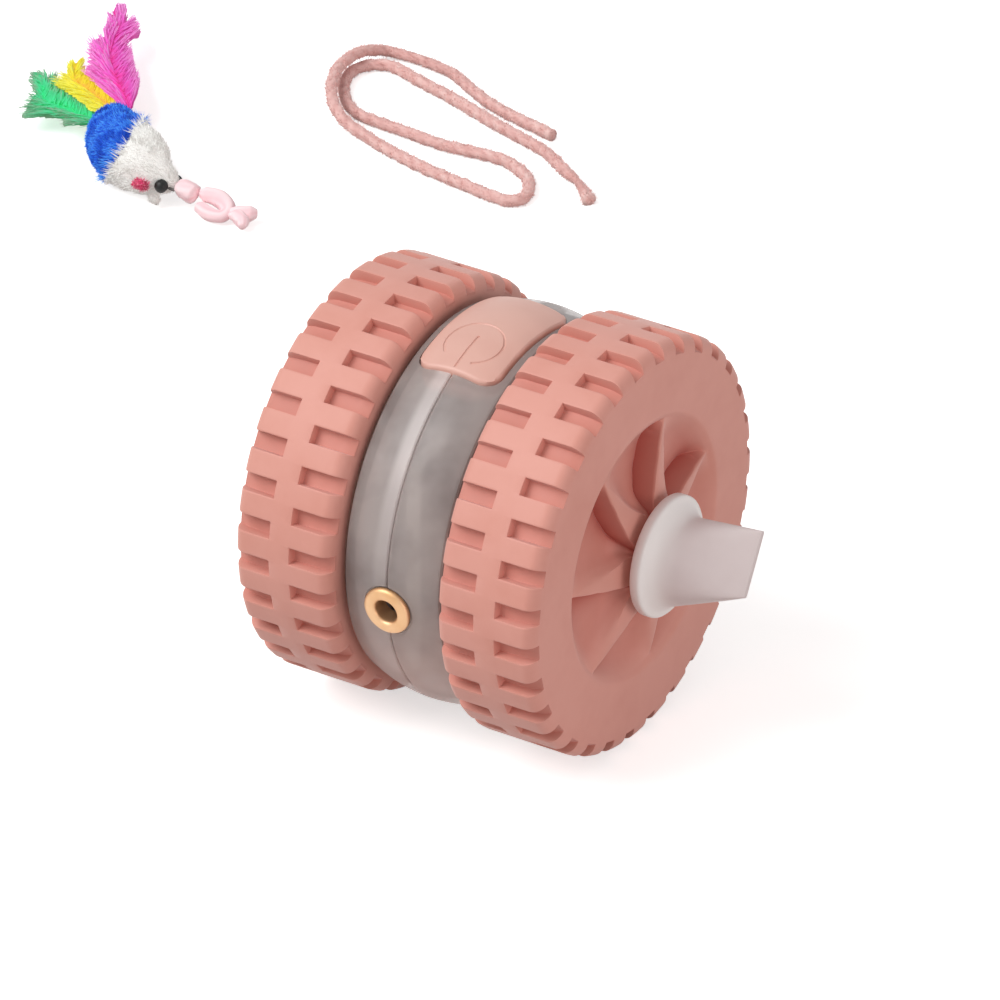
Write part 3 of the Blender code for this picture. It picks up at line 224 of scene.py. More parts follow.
@dataclass(frozen=True)
class Banded(Moulded):
    """A moulding with another colour between two distances along the axle: the shell's thicker wall, or
    painted light on the paddle's flange.
    """

    band: str = "#FFFFFF"
    low_mm: float = 0.0
    high_mm: float = 0.0
    soft_mm: tuple[float, float] = (0.3, 0.3)
    both_sides: bool = False
    fade_mm: tuple[float, float] = (-2.0, -1.0)
    # colour of a painted reflection, mixed in towards the bottom
    foot: str = ""
    painted_reflection_mm: tuple[float, float] = (14.0, 40.0)

    def dye(self, tree: bpy.types.NodeTree, shader: bpy.types.Node, place: bpy.types.NodeSocket) -> None:
        """Mix in the painted reflection's colour from below, and then the band's colour along the axle."""
        parts = add_node(tree, "ShaderNodeSeparateXYZ", None, {"Vector": place})
        along, up = parts.outputs[0], parts.outputs[2]
        if self.both_sides:
            along = add_node(tree, "ShaderNodeMath", {"operation": "ABSOLUTE"}, {0: along}).outputs[0]
        shares = []
        edges = ((self.low_mm, self.soft_mm[0], 0.0, 1.0), (self.high_mm, self.soft_mm[1], 1.0, 0.0))
        for edge, soft, start, stop in edges:
            limits = {"From Min": (edge - soft) * METRES, "From Max": (edge + soft) * METRES}
            settings = {"interpolation_type": "SMOOTHSTEP", **limits, "To Min": start, "To Max": stop}
            shares.append(add_node(tree, "ShaderNodeMapRange", settings, {"Value": along}))
        inside = add_node(tree, "ShaderNodeMath", {"operation": "MULTIPLY"},
                          {0: shares[0].outputs[0], 1: shares[1].outputs[0]})
        height = add_node(tree, "ShaderNodeMapRange",
                          {"From Min": self.fade_mm[0] * METRES, "From Max": self.fade_mm[1] * METRES},
                          {"Value": up})
        inside = add_node(tree, "ShaderNodeMath", {"operation": "MULTIPLY"},
                          {0: inside.outputs[0], 1: height.outputs[0]})
        plain = shader.inputs["Base Color"].links[0].from_socket
        # painted reflection: pinker towards the foot
        if self.foot:
            low = add_node(tree, "ShaderNodeMapRange",
                           {"From Min": self.painted_reflection_mm[0] * METRES, "From Max": self.painted_reflection_mm[1] * METRES,
                            "To Min": 1.0, "To Max": 0.0}, {"Value": up})
            plain = add_node(tree, "ShaderNodeMix", {"data_type": "RGBA", 7: linear(self.foot)},
                             {0: low.outputs[0], 6: plain}).outputs[2]
        mix = add_node(tree, "ShaderNodeMix", {"data_type": "RGBA", 7: linear(self.band)},
                       {0: inside.outputs[0], 6: plain})
        tree.links.new(mix.outputs[2], shader.inputs["Base Color"])


@dataclass(frozen=True)
class Fibrous(Moulded):
    """Fur, felt, cotton or feather: each strand has its own tint, kept as the colour attribute tint, with
    painted shade in it on the pile, the rope and the tie.
    """

    middle: str = "#808080"

    def dye(self, tree: bpy.types.NodeTree, shader: bpy.types.Node, place: bpy.types.NodeSocket) -> None:
        """Take the colour and the painted glow of each strand from the attribute tint."""
        tint = add_node(tree, "ShaderNodeVertexColor", {"layer_name": "tint"})
        ramp = add_node(tree, "ShaderNodeValToRGB", None, {"Fac": tint.outputs["Color"]})
        ramp.color_ramp.elements[0].color = linear(self.shade)
        ramp.color_ramp.elements[1].color = linear(self.colour)
        ramp.color_ramp.elements.new(0.5).color = linear(self.middle)
        tree.links.new(ramp.outputs["Color"], shader.inputs["Base Color"])
        tree.links.new(ramp.outputs["Color"], shader.inputs["Emission Color"])


# Silicone rubber, compression moulded and matt: an even terracotta pink with the faint cloudiness of its
# pigment, with painted shade in its notches and in the pockets of its dish
RUBBER = ShadePaintedMoulding("silicone_rubber_moulded", "#DE9D8F", "#D99687", 0.58, ior=1.46, grain_depth_mm=0.006,
              sheen=0.2, painted_shade_colour="#B25548")
# ABS, injection moulded with a satin texture: lighter and smoother than the rubber beside it
BUTTON_ABS = Moulded("abs_moulded_satin", "#E0B0A2", "#DCAA9C", 0.45, ior=1.53, grain_mm=0.25,
                     grain_depth_mm=0.003)
# Polycarbonate, moulded against a blasted mould: light comes through it but only blurred shapes do. The
# tongue inside the left half's edge doubles the wall to a paler band beside the seam, which thins out
# downwards. Towards the foot it is painted pinker, a painted reflection of the pink tyres
SHELL_PC = Banded("polycarbonate_frosted", "#C8BCB8", "#A09491", 0.42, ior=1.58, mottle_mm=13.0, clear=0.2,
                  alpha=0.56, band="#EADFDC", low_mm=-2.9, high_mm=-0.1, soft_mm=(0.9, 0.15),
                  fade_mm=(34.0, 60.0), foot="#F4D8D0")
# Unfilled polypropylene of the paddle and the cap: its flange is painted paler than its blade, which is
# painted light
PADDLE_PP = Banded("polypropylene_moulded", "#DDD2D1", "#D8CCCB", 0.5, ior=1.49, grain_depth_mm=0.003,
                   band="#F6F3F1", low_mm=20.0, high_mm=40.5, soft_mm=(2.5, 2.5), both_sides=True)
# Brass with a thin nickel wash, spun and polished: pale warm reflections, blurred a little by wear
BRASS = Moulded("brass_washed_polished", "#D3AE88", "#C69A6C", 0.5, metallic=1.0, grain_mm=0.2,
                grain_depth_mm=0.002)
# Bright turned steel of axles, motor cans and screws
STEEL = Moulded("steel_turned_bright", "#C4C4C6", "#B4B4B8", 0.32, metallic=1.0, grain_mm=0.15,
                grain_depth_mm=0.002)
# Nylon of the gears and the motor frame, moulded and left natural
NYLON = Moulded("nylon_moulded_natural", "#E6E3DB", "#DDDAD0", 0.45, ior=1.53)
BLACK_NYLON = Moulded("nylon_moulded_black", "#2A2A2C", "#232325", 0.5, ior=1.53)
# Heat-shrunk wrap of the cell: glossy pale grey film
WRAP = Moulded("pvc_shrink_wrap", "#B9BCC0", "#ADB0B5", 0.3, ior=1.54)
# Glass-fibre board under black solder mask
BOARD = Moulded("solder_mask_on_fibreglass", "#33383A", "#2B3032", 0.42, ior=1.55, grain_mm=0.6)
# Clear epoxy of the lamps, cast
EPOXY = Moulded("epoxy_cast_clear", "#EDEDEA", "#E4E4E0", 0.1, ior=1.5, clear=0.8)
# Acrylic bead of the eye, tumbled and left dull
BEAD = Moulded("acrylic_bead_tumbled", "#0B0B0C", "#050505", 0.45, ior=1.4)
# Grey cotton thread of the nose
STITCH = Moulded("cotton_thread_grey", "#8E8A88", "#6F6B6A", 0.85)
# Polyester plush: short soft pile, each strand a little lighter or darker. Both colours glow a little, which
# is painted light, the white one most
WHITE_FUR = Fibrous("polyester_pile_white", "#F9F9F7", "#DEDDD9", 0.85, sheen=0.2, glow=0.08,
                    middle="#F4F4F1")
BLUE_FUR = Fibrous("polyester_pile_blue", "#4CA4FF", "#063EB4", 0.8, sheen=0.05, glow=0.05, middle="#0A64E4")
# Dyed wool felt of the ears
FELT = Fibrous("wool_felt_dyed", "#F9A3BC", "#8E1038", 0.9, sheen=0.3, middle="#EE4A80")
# Cotton chenille of the rope, dyed a pale rose
CORD = Fibrous("cotton_chenille_dyed", "#F4CFC9", "#DDAAA4", 0.9, sheen=0.3, middle="#EDBFB9")
# Cotton jersey of the tie, dyed very pale, with a faint glow that is painted light
JERSEY = Fibrous("cotton_jersey_dyed", "#FDE3E6", "#F4C4CA", 0.9, sheen=0.3, glow=0.1, middle="#FAD6DB")
# Marabou feathers in fluorescent dyes, strong along the quill and paler at the barbs' tips, with a faint glow
# that is painted light
MAGENTA = Fibrous("marabou_magenta", "#F39BDD", "#F0189A", 0.75, sheen=0.2, glow=0.12, middle="#EA58C8")
YELLOW = Fibrous("marabou_yellow", "#E4E25A", "#EEB03C", 0.75, sheen=0.2, glow=0.2, middle="#E6DC20")
GREEN = Fibrous("marabou_green", "#8C9C88", "#12E484", 0.75, sheen=0.2, glow=0.2, middle="#40CC8C")

# Finish of the CAD pieces that stay as they are
CARRIED_OVER: dict[str, Moulded] = {
    "rim": BUTTON_ABS, "axle": STEEL, "wheel_gear": NYLON, "bush": BRASS, "motor": STEEL,
    "motor_shaft": STEEL, "pinion": NYLON, "motor_lead": BLACK_NYLON, "case_screw": STEEL,
    "motor_frame": NYLON, "battery": WRAP, "ballast": STEEL, "circuit_board": BOARD,
    "tact_switch": BLACK_NYLON, "charging_port": STEEL, "front_led": EPOXY, "rear_led": EPOXY,
    "battery_lead": BLACK_NYLON,
}


def place_mesh(name: str, verts: np.ndarray, faces: Iterable[Sequence[int]], finish: Moulded, body: str,
               slot: Slot, replaced: Sequence[str] = (), sharp: float = 40.0, tint: np.ndarray | None = None,
               closed: bool = True) -> bpy.types.Object:
    """Make a mesh piece that rides on a body.

    Args:
        name: Name of the piece.
        verts: Points in millimetres.
        faces: Corner numbers of each face.
        finish: Finish of the piece.
        body: Body that it rides on.
        slot: Not used.
        replaced: CAD nodes that it stands for.
        sharp: Angle above which an edge is shaded sharp.
        tint: Value from 0 to 1 at each point, for fibrous finishes and for painted shade.
        closed: Whether the mesh is closed, so that its faces can be turned outwards.

    Returns:
        The new object.
    """
    data = bpy.data.meshes.new(name)
    data.from_pydata((np.asarray(verts) * METRES).tolist(), [], [tuple(face) for face in faces])
    if closed:
        mesh = bmesh.new()
        mesh.from_mesh(data)
        bmesh.ops.recalc_face_normals(mesh, faces=mesh.faces)
        mesh.to_mesh(data)
        mesh.free()
    if tint is not None:
        layer = data.color_attributes.new("tint", "FLOAT_COLOR", "POINT")
        grey = np.repeat(np.clip(tint, 0.0, 1.0)[:, None], 4, axis=1)
        grey[:, 3] = 1.0
        layer.data.foreach_set("color", grey.ravel())
    data.shade_smooth()
    data.set_sharp_from_angle(angle=math.radians(sharp))
    data.materials.append(finish.material())
    piece = bpy.data.objects.new(name, data)
    bpy.context.scene.collection.objects.link(piece)
    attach(piece, body)
    if replaced:
        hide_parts(*replaced)
    return piece


def grid_faces(rows: int, cols: int, start: int = 0, wrap_rows: bool = False,
               wrap_cols: bool = True) -> Faces:
    """Quads of a grid of points, numbered row by row.

    Args:
        rows: Number of rows.
        cols: Points in a row.
        start: Number of the first point.
        wrap_rows: Whether the last row meets the first.
        wrap_cols: Whether each row closes on itself.

    Returns:
        The faces.
    """
    row = np.arange(rows if wrap_rows else rows - 1)[:, None]
    col = np.arange(cols if wrap_cols else cols - 1)[None, :]
    below = (row + 1) % rows
    right = (col + 1) % cols
    corners = [row * cols + col, row * cols + right, below * cols + right, below * cols + col]
    return (np.stack(corners, axis=-1).reshape(-1, 4) + start).tolist()


def stack_faces(rows: int, cols: int) -> Faces:
    """Quads between stacked rings of points, and a flat face over each end."""
    return grid_faces(rows, cols) + [tuple(range(cols)), tuple(range((rows - 1) * cols, rows * cols))]


def working_mesh(verts: np.ndarray, faces: Faces) -> bmesh.types.BMesh:
    """Mesh to work on, from points and faces; the caller frees it."""
    mesh = bmesh.new()
    points = [mesh.verts.new(point) for point in np.asarray(verts).tolist()]
    for face in faces:
        mesh.faces.new([points[i] for i in face])
    return mesh


def zip_rings(first: Sequence[int], first_angles: np.ndarray, second: Sequence[int],
              second_angles: np.ndarray) -> Faces:
    """Join two rings of unlike counts with triangles.

    Args:
        first: Point numbers of one ring.
        first_angles: Their angles in radians.
        second: Point numbers of the other ring.
        second_angles: Their angles in radians.

    Returns:
        The faces between the rings.
    """
    turn = 2 * math.pi
    rings = []
    for numbers, angles in ((first, first_angles), (second, second_angles)):
        angles = np.mod(angles, turn)
        order = np.argsort(angles)
        rings.append((np.asarray(numbers)[order], np.append(angles[order], angles[order][0] + turn)))
    (one, one_at), (two, two_at) = rings
    faces: Faces = []
    i = j = 0
    while i < len(one) or j < len(two):
        if j == len(two) or (i < len(one) and one_at[i + 1] <= two_at[j + 1]):
            faces.append((int(one[i]), int(one[(i + 1) % len(one)]), int(two[j % len(two)])))
            i += 1
        else:
            faces.append((int(one[i % len(one)]), int(two[(j + 1) % len(two)]), int(two[j])))
            j += 1
    return faces


def round_axle(x: np.ndarray, radius: np.ndarray, angle: np.ndarray) -> np.ndarray:
    """Points round the axle, from their distance along it, radius and angle in radians."""
    x, radius, angle = np.broadcast_arrays(x, radius, angle)
    return np.stack([x, -radius * np.cos(angle), AXLE_H + radius * np.sin(angle)], axis=-1)


def to_side(verts: np.ndarray, side: str) -> np.ndarray:
    """Turn points of the right side half round for the left side, or leave them."""
    return verts * (1.0, 1.0, 1.0) if side == "right" else verts * (-1.0, -1.0, 1.0)


def smooth_curve(points: Sequence[Sequence[float]], count: int) -> np.ndarray:
    """Read evenly spaced points from the smooth curve through the given ones.

    Args:
        points: Points or rows of values to pass through.
        count: How many to return.

    Returns:
        The points, one a row.
    """
    knots = np.asarray(points, dtype=float)
    ends = np.vstack([2 * knots[0] - knots[1], knots, 2 * knots[-1] - knots[-2]])
    fine = []
    for before, start, stop, after in zip(ends, ends[1:], ends[2:], ends[3:]):
        for t in np.linspace(0.0, 1.0, 12, endpoint=False):
            fine.append((start * 2 + (stop - before) * t + (before * 2 - start * 5 + stop * 4 - after) * t * t
                         + (start * 3 - before - stop * 3 + after) * t ** 3) / 2)
    fine.append(knots[-1])
    line = np.array(fine)
    run = np.concatenate([[0.0], np.cumsum(np.linalg.norm(np.diff(line[:, :3], axis=0), axis=1))])
    goals = np.linspace(0.0, run[-1], count)
    return np.stack([np.interp(goals, run, column) for column in line.T], axis=1)


def unit(vectors: np.ndarray) -> np.ndarray:
    """Scale vectors to length 1."""
    return vectors / np.maximum(np.linalg.norm(vectors, axis=-1, keepdims=True), 1e-9)


def frames_along(line: np.ndarray) -> tuple[np.ndarray, np.ndarray, np.ndarray]:
    """Directions along a line and two across it that don't twist.

    Args:
        line: Points of the line.

    Returns:
        The tangents and the two sets of crosswise directions.
    """
    along = unit(np.gradient(line, axis=0))
    across = np.zeros_like(line)
    start = np.cross(along[0], (0.0, 0.0, 1.0))
    across[0] = unit(start if np.linalg.norm(start) > 0.1 else np.cross(along[0], (0.0, 1.0, 0.0)))
    for i in range(1, len(line)):
        across[i] = unit(across[i - 1] - along[i] * np.dot(across[i - 1], along[i]))
    return along, across, np.cross(along, across)


def tube_mesh(line: np.ndarray, radii: np.ndarray, sides: int) -> tuple[np.ndarray, Faces]:
    """Closed tube along a line.

    Args:
        line: Points of its middle.
        radii: Radius at each point, or at each point and side.
        sides: Points round it.

    Returns:
        Its points and faces.
    """
    _, across, out = frames_along(line)
    angle = np.linspace(0.0, 2 * math.pi, sides, endpoint=False)
    radii = np.asarray(radii, dtype=float)
    radii = np.repeat(radii[:, None], sides, axis=1) if radii.ndim == 1 else radii
    ring = across[:, None] * np.cos(angle)[None, :, None] + out[:, None] * np.sin(angle)[None, :, None]
    verts = (line[:, None] + ring * radii[..., None]).reshape(-1, 3)
    rows = len(line)
    faces = grid_faces(rows, sides)
    verts = np.vstack([verts, line[0], line[-1]])
    for j in range(sides):
        k = (j + 1) % sides
        faces.append((rows * sides, k, j))
        faces.append((rows * sides + 1, (rows - 1) * sides + j, (rows - 1) * sides + k))
    return verts, faces


def strand_mesh(roots: np.ndarray, lean: np.ndarray, length: np.ndarray, width: float, droop: np.ndarray,
                rng: np.random.Generator) -> tuple[np.ndarray, Faces]:
    """Thin bent strands of pile, each a narrow ribbon that ends in a point.

    Args:
        roots: Where each strand starts.
        lean: Direction in which each one sets out.
        length: Length of each one.
        width: Width at the root.
        droop: Vector added to each one's direction half way.
        rng: Source of the strands' sideways directions.

    Returns:
        Their points, five for each strand, and faces.
    """
    count = len(roots)
    first = unit(lean)
    second = unit(first + droop)
    side = unit(np.cross(first, rng.normal(size=(count, 3)))) * (width / 2)
    middle = roots + first * (length * 0.5)[:, None]
    tip = middle + second * (length * 0.5)[:, None]
    verts = np.stack([roots - side, roots + side, middle + side * 0.8, middle - side * 0.8, tip], axis=1)
    base = np.arange(count) * 5
    quads = np.stack([base, base + 1, base + 2, base + 3], axis=1).tolist()
    points = np.stack([base + 3, base + 2, base + 4], axis=1).tolist()
    return verts.reshape(-1, 3), quads + points


def scatter(verts: np.ndarray, faces: Faces, count: int,
            rng: np.random.Generator) -> tuple[np.ndarray, np.ndarray]:
    """Random places on a mesh, spread evenly by area.

    Args:
        verts: Points of the mesh.
        faces: Its faces.
        count: How many places to return.
        rng: Source of the places.

    Returns:
        The places and the outward directions there.
    """
    triangles = np.array([(f[0], f[i], f[i + 1]) for f in faces for i in range(1, len(f) - 1)])
    a, b, c = (verts[triangles[:, i]] for i in range(3))
    cross = np.cross(b - a, c - a)
    area = np.linalg.norm(cross, axis=1)
    pick = rng.choice(len(triangles), size=count, p=area / area.sum())
    u, v = rng.random(count), rng.random(count)
    flip = u + v > 1
    u[flip], v[flip] = 1 - u[flip], 1 - v[flip]
    spots = a[pick] + (b - a)[pick] * u[:, None] + (c - a)[pick] * v[:, None]
    return spots, unit(cross[pick])


def join(parts: Sequence[tuple[np.ndarray, Faces]]) -> tuple[np.ndarray, Faces]:
    """Put several meshes into one list of points and faces."""
    verts: list[np.ndarray] = []
    faces: Faces = []
    start = 0
    for points, corners in parts:
        verts.append(points)
        faces += [tuple(i + start for i in face) for face in corners]
        start += len(points)
    return np.vstack(verts), faces


def clumps(verts: np.ndarray, size: float, depth: float) -> np.ndarray:
    """Push points out and in by smooth noise.

    Args:
        verts: Points to read the noise at.
        size: Size of a clump.
        depth: Most that a point moves.

    Returns:
        The distance to move each point by.
    """
    return np.array([noise.noise(Vector(point / size)) for point in verts]) * depth


class Cutter:
    """A rigid piece in the making, cut and joined with other solids."""

    def __init__(self, name: str, verts: np.ndarray, faces: Faces) -> None:
        """Start from a closed mesh in millimetres."""
        self.piece = self.solid(name, verts, faces)
        self.tools: list[bpy.types.Object] = []

    @staticmethod
    def solid(name: str, verts: np.ndarray, faces: Faces) -> bpy.types.Object:
        """Make a closed mesh object whose faces point outwards."""
        mesh = working_mesh(verts, faces)
        bmesh.ops.remove_doubles(mesh, verts=mesh.verts, dist=1e-4)
        bmesh.ops.recalc_face_normals(mesh, faces=mesh.faces)
        data = bpy.data.meshes.new(name)
        mesh.to_mesh(data)
        mesh.free()
        item = bpy.data.objects.new(name, data)
        bpy.context.scene.collection.objects.link(item)
        return item

    def apply(self, verts: np.ndarray, faces: Faces, operation: str = "DIFFERENCE") -> None:
        """Cut, join or intersect with another closed mesh."""
        tool = self.solid(f"{self.piece.name}_tool_{len(self.tools)}", verts, faces)
        step = self.piece.modifiers.new(tool.name, "BOOLEAN")
        step.operation = operation
        step.solver = "EXACT"
        step.object = tool
        self.tools.append(tool)

    def result(self) -> tuple[np.ndarray, Faces]:
        """Return the points and faces of the finished solid, and remove the working objects."""
        graph = bpy.context.evaluated_depsgraph_get()
        data = bpy.data.meshes.new_from_object(self.piece.evaluated_get(graph))
        verts = np.array([tuple(vert.co) for vert in data.vertices])
        faces = [tuple(face.vertices) for face in data.polygons]
        bpy.data.meshes.remove(data)
        for item in [self.piece, *self.tools]:
            bpy.data.objects.remove(item, do_unlink=True)
        return verts, faces


def revolve(profile: Sequence[tuple[float, float]], steps: int,
            closed: bool = True) -> tuple[np.ndarray, Faces]:
    """Turn a profile of (distance along the axle, radius) round the axle.

    Args:
        profile: Points of the profile; those on the axle have radius 0.
        steps: Number of steps round it.
        closed: Whether the last point joins the first.

    Returns:
        Points and faces.
    """
    x, radius = np.array(profile).T
    angle = np.linspace(0.0, 2 * math.pi, steps, endpoint=False)
    verts = round_axle(x[:, None], radius[:, None], angle[None, :]).reshape(-1, 3)
    return verts, grid_faces(len(profile), steps, wrap_rows=closed)


def cylinder(start: Sequence[float], stop: Sequence[float], radius: float,
             sides: int = 32) -> tuple[np.ndarray, Faces]:
    """Closed cylinder between two points, used as a cutter or a boss."""
    return tube_mesh(np.array([start, stop], dtype=float), np.array([radius, radius]), sides)


def box(low: Sequence[float], high: Sequence[float]) -> tuple[np.ndarray, Faces]:
    """Closed box between two corners, used as a cutter."""
    verts = np.array([(x, y, z) for x in (low[0], high[0]) for y in (low[1], high[1])
                      for z in (low[2], high[2])])
    return verts, [(0, 1, 3, 2), (4, 6, 7, 5), (0, 4, 5, 1), (2, 3, 7, 6), (0, 2, 6, 4), (1, 5, 7, 3)]


@dataclass(frozen=True)
class Tyre:
    """Rubber tyre with two staggered rows of notches, and a dished face with blade-like ridges."""

    crown_r: float = 40.0
    side_r: float = 37.0
    bore_r: float = 34.0
    in_x: float = 11.3
    out_x: float = 31.8
    shoulder_run: float = 2.4
    band_low: float = 19.6
    band_high: float = 24.0
    notch_count: int = 32
    notch_share: float = 0.42
    notch_depth: float = 2.0
    fall: float = 0.9
    edge: float = 0.28
    web_back: float = 26.6
    hole_r: float = 6.9
    ring_r: float = 27.0
    dish_edge_r: float = 26.4
    fall_out: tuple[float, float] = (27.5, 4.3)
    fall_in: tuple[float, float] = (14.0, 3.2)
    ridge_count: int = 7
    ridge_turn: float = 5.5
    ridge_tip_r: float = 24.8
    pocket: float = 1.1
    wall_run: float = 0.7
    # share of painted shade at the floor of a notch
    notch_painted_shade: float = 0.35

    def valley(self, radius: float) -> float:
        """Depth of the dish between its ridges."""
        radii = (6.9, 8.4, 9.2, 10.0, 12.0, 16.0, 20.0, 22.0, 23.0, 23.8, 24.5, 25.0, 25.4, 25.8, 26.2)
        depths = (33.6, 33.6, 32.8, 31.5, 29.7, 28.7, 28.5, 29.0, 29.6, 30.2, 30.8, 31.2, 31.5, 31.72, 31.8)
        return float(np.interp(radius, radii, depths))

    def crest(self, radius: float) -> float:
        """Height of the ridges' crests."""
        return float(np.interp(radius, (6.9, 9.2, self.ridge_tip_r), (33.9, 33.9, 31.0)))

    def crest_width(self, radius: float) -> float:
        """Width of a ridge's crest."""
        return float(np.interp(radius, (6.9, 9.0, 10.5, 12.0, 14.0, 17.0, 20.5, 22.5, self.ridge_tip_r),
                               (4.9, 6.2, 5.6, 4.6, 3.7, 2.8, 1.8, 1.0, 0.3)))

    def sweep(self, radius: float) -> float:
        """How far a ridge's steep edge has turned back from where it is at the tip."""
        return math.radians(float(np.interp(radius, (8.0, 9.7, 13.0, 17.7, self.ridge_tip_r),
                                            (-25.5, -20.4, -12.5, -5.8, 0.0))))

    def tread_columns(self, turn: float) -> tuple[np.ndarray, np.ndarray, np.ndarray]:
        """Angles of the columns round the tread and how deep each row of notches is there.

        Args:
            turn: How far the wheel is turned at rest.

        Returns:
            Angles in radians and the share of the depth for the outer and the inner row.
        """
        pitch = 2 * math.pi / self.notch_count
        half = pitch * self.notch_share / 2
        far, near = self.edge / self.crown_r, self.edge / self.crown_r / 5
        steps = [(-half - far, 0.0), (-half - near, 0.05), (-half + near, 0.95), (-half + far, 1.0),
                 (0.0, 1.0), (half - far, 1.0), (half - near, 0.95), (half + near, 0.05), (half + far, 0.0)]
        rows = []
        for number in range(self.notch_count):
            for offset, depth in steps:
                rows.append((number * pitch + offset, depth, 0.0))
                rows.append(((number + 0.5) * pitch + offset, 0.0, depth))
        table = np.array(sorted(rows))
        return table[:, 0] - math.radians(turn), table[:, 1], table[:, 2]

    def tread_stations(self) -> list[tuple[float, float, float, float]]:
        """Stations across the tyre: place, radius and how much each row of notches acts there."""
        drop = self.crown_r - self.side_r
        floor = self.crown_r - self.notch_depth
        meet = math.degrees(math.asin((floor - self.side_r) / drop))
        stations = [(self.out_x, self.ring_r, 0.0, 0.0), (self.out_x, 31.0, 0.0, 0.0),
                    (self.out_x, 35.6, 0.0, 0.0), (self.out_x, self.side_r - 0.5, 0.0, 0.0),
                    (self.out_x - 0.03, self.side_r - 0.12, 0.0, 0.0)]
        curve = sorted([6.0, meet, 28.0, 38.0, 48.0, 58.0, 68.0, 78.0, 90.0])
        shoulder = [(self.shoulder_run * (1 - math.cos(a)), self.side_r + drop * math.sin(a))
                    for a in map(math.radians, curve)]
        stations += [(self.out_x - run, radius, 1.0, 0.0) for run, radius in shoulder]
        edge = self.edge
        stations.append((27.0, self.crown_r, 1.0, 0.0))
        for offset, depth in ((edge, 1.0), (edge / 5, 0.95), (-edge / 5, 0.05), (-edge, 0.0)):
            stations.append((self.band_high + offset, self.crown_r, depth, 0.0))
        stations.append(((self.band_high + self.band_low) / 2, self.crown_r, 0.0, 0.0))
        for offset, depth in ((edge, 0.0), (edge / 5, 0.05), (-edge / 5, 0.95), (-edge, 1.0)):
            stations.append((self.band_low + offset, self.crown_r, 0.0, depth))
        stations.append((16.4, self.crown_r, 0.0, 1.0))
        stations += [(self.in_x + run, radius, 0.0, 1.0) for run, radius in reversed(shoulder)]
        stations += [(self.in_x, self.side_r - 0.3, 0.0, 0.0), (self.in_x, self.bore_r + 0.2, 0.0, 0.0),
                     (self.in_x + 0.2, self.bore_r, 0.0, 0.0), (self.web_back, self.bore_r, 0.0, 0.0),
                     (self.web_back, self.ring_r, 0.0, 0.0)]
        return stations

    def tread(self, turn: float) -> tuple[np.ndarray, np.ndarray, np.ndarray]:
        """Points of everything outside the ring where the dish begins.

        Args:
            turn: How far the wheel is turned at rest.

        Returns:
            The points, the angles of the columns and the share of painted shade at each point, as rows and
            columns.
        """
        angles, outer, inner = self.tread_columns(turn)
        stations = np.array(self.tread_stations())
        depth = stations[:, 2:3] * outer[None, :] + stations[:, 3:4] * inner[None, :]
        floor = self.crown_r - self.notch_depth
        place = stations[:, 0:1]
        fall = self.fall * (np.clip((place - self.fall_out[0]) / self.fall_out[1], 0, 1) ** 2
                            + np.clip((self.fall_in[0] - place) / self.fall_in[1], 0, 1) ** 2)
        radius = stations[:, 1:2] - depth * np.maximum(0.0, stations[:, 1:2] - floor + fall)
        verts = round_axle(stations[:, 0:1], radius, angles[None, :])
        # painted shade: the notches are painted darker the deeper they are
        return verts.reshape(-1, 3), angles, self.notch_painted_shade * depth

    def dish_row(self, radius: float) -> np.ndarray:
        """One ring of the dish: a steep wall, a crest and a gentle slope for each ridge.

        Args:
            radius: Radius of the ring.

        Returns:
            Rows of angle in radians, place along the axle and the share of painted shade at the point, from 0
            to 1.
        """
        low = self.valley(radius)
        high = max(low, self.crest(radius))
        share = min(1.0, max(0.0, (self.ridge_tip_r - radius) / (self.ridge_tip_r - 8.6)))
        full = min(1.0, share * 5.0)
        width = self.crest_width(radius) / radius
        wall = self.wall_run / radius
        sector = 2 * math.pi / self.ridge_count
        edge = math.radians(self.ridge_turn) + self.sweep(radius)
        slope = sector - width - wall
        pocket = -self.pocket * full * min(1.0, max(0.0, radius - 9.0) / 2.0) / max(high - low, 0.5)
        # the third value of each step is painted shade: full at the foot of each steep wall, growing along
        # the slope towards it, none on the crest
        steps = [(-wall, pocket, full), (-0.75 * wall, pocket * 0.8, full), (-0.2 * wall, 0.82, 0.6 * full),
                 (0.0, 0.97, 0.0)]
        steps += [(width * t, 1.0 - 0.1 * t ** 2, 0.0) for t in (0.08, 0.3, 0.6, 0.85)]
        for t in (0.0, 0.04, 0.09, 0.15, 0.22, 0.3, 0.38, 0.47, 0.56, 0.65, 0.74, 0.83, 0.9, 0.96):
            ramp = 0.84 * (1 - t) ** 5.5 + 0.04 * (1 - t)
            shade = (0.3 * min(1.0, 6.0 * t) + 0.7 * max(0.0, (t - 0.45) / 0.55) ** 1.6) * full
            steps.append((width + slope * t, ramp + pocket * max(0.0, (t - 0.75) / 0.25) ** 2, shade))
        rows = [(edge + number * sector + offset, low + (high - low) * height, shade)
                for number in range(self.ridge_count) for offset, height, shade in steps]
        return np.array(rows)

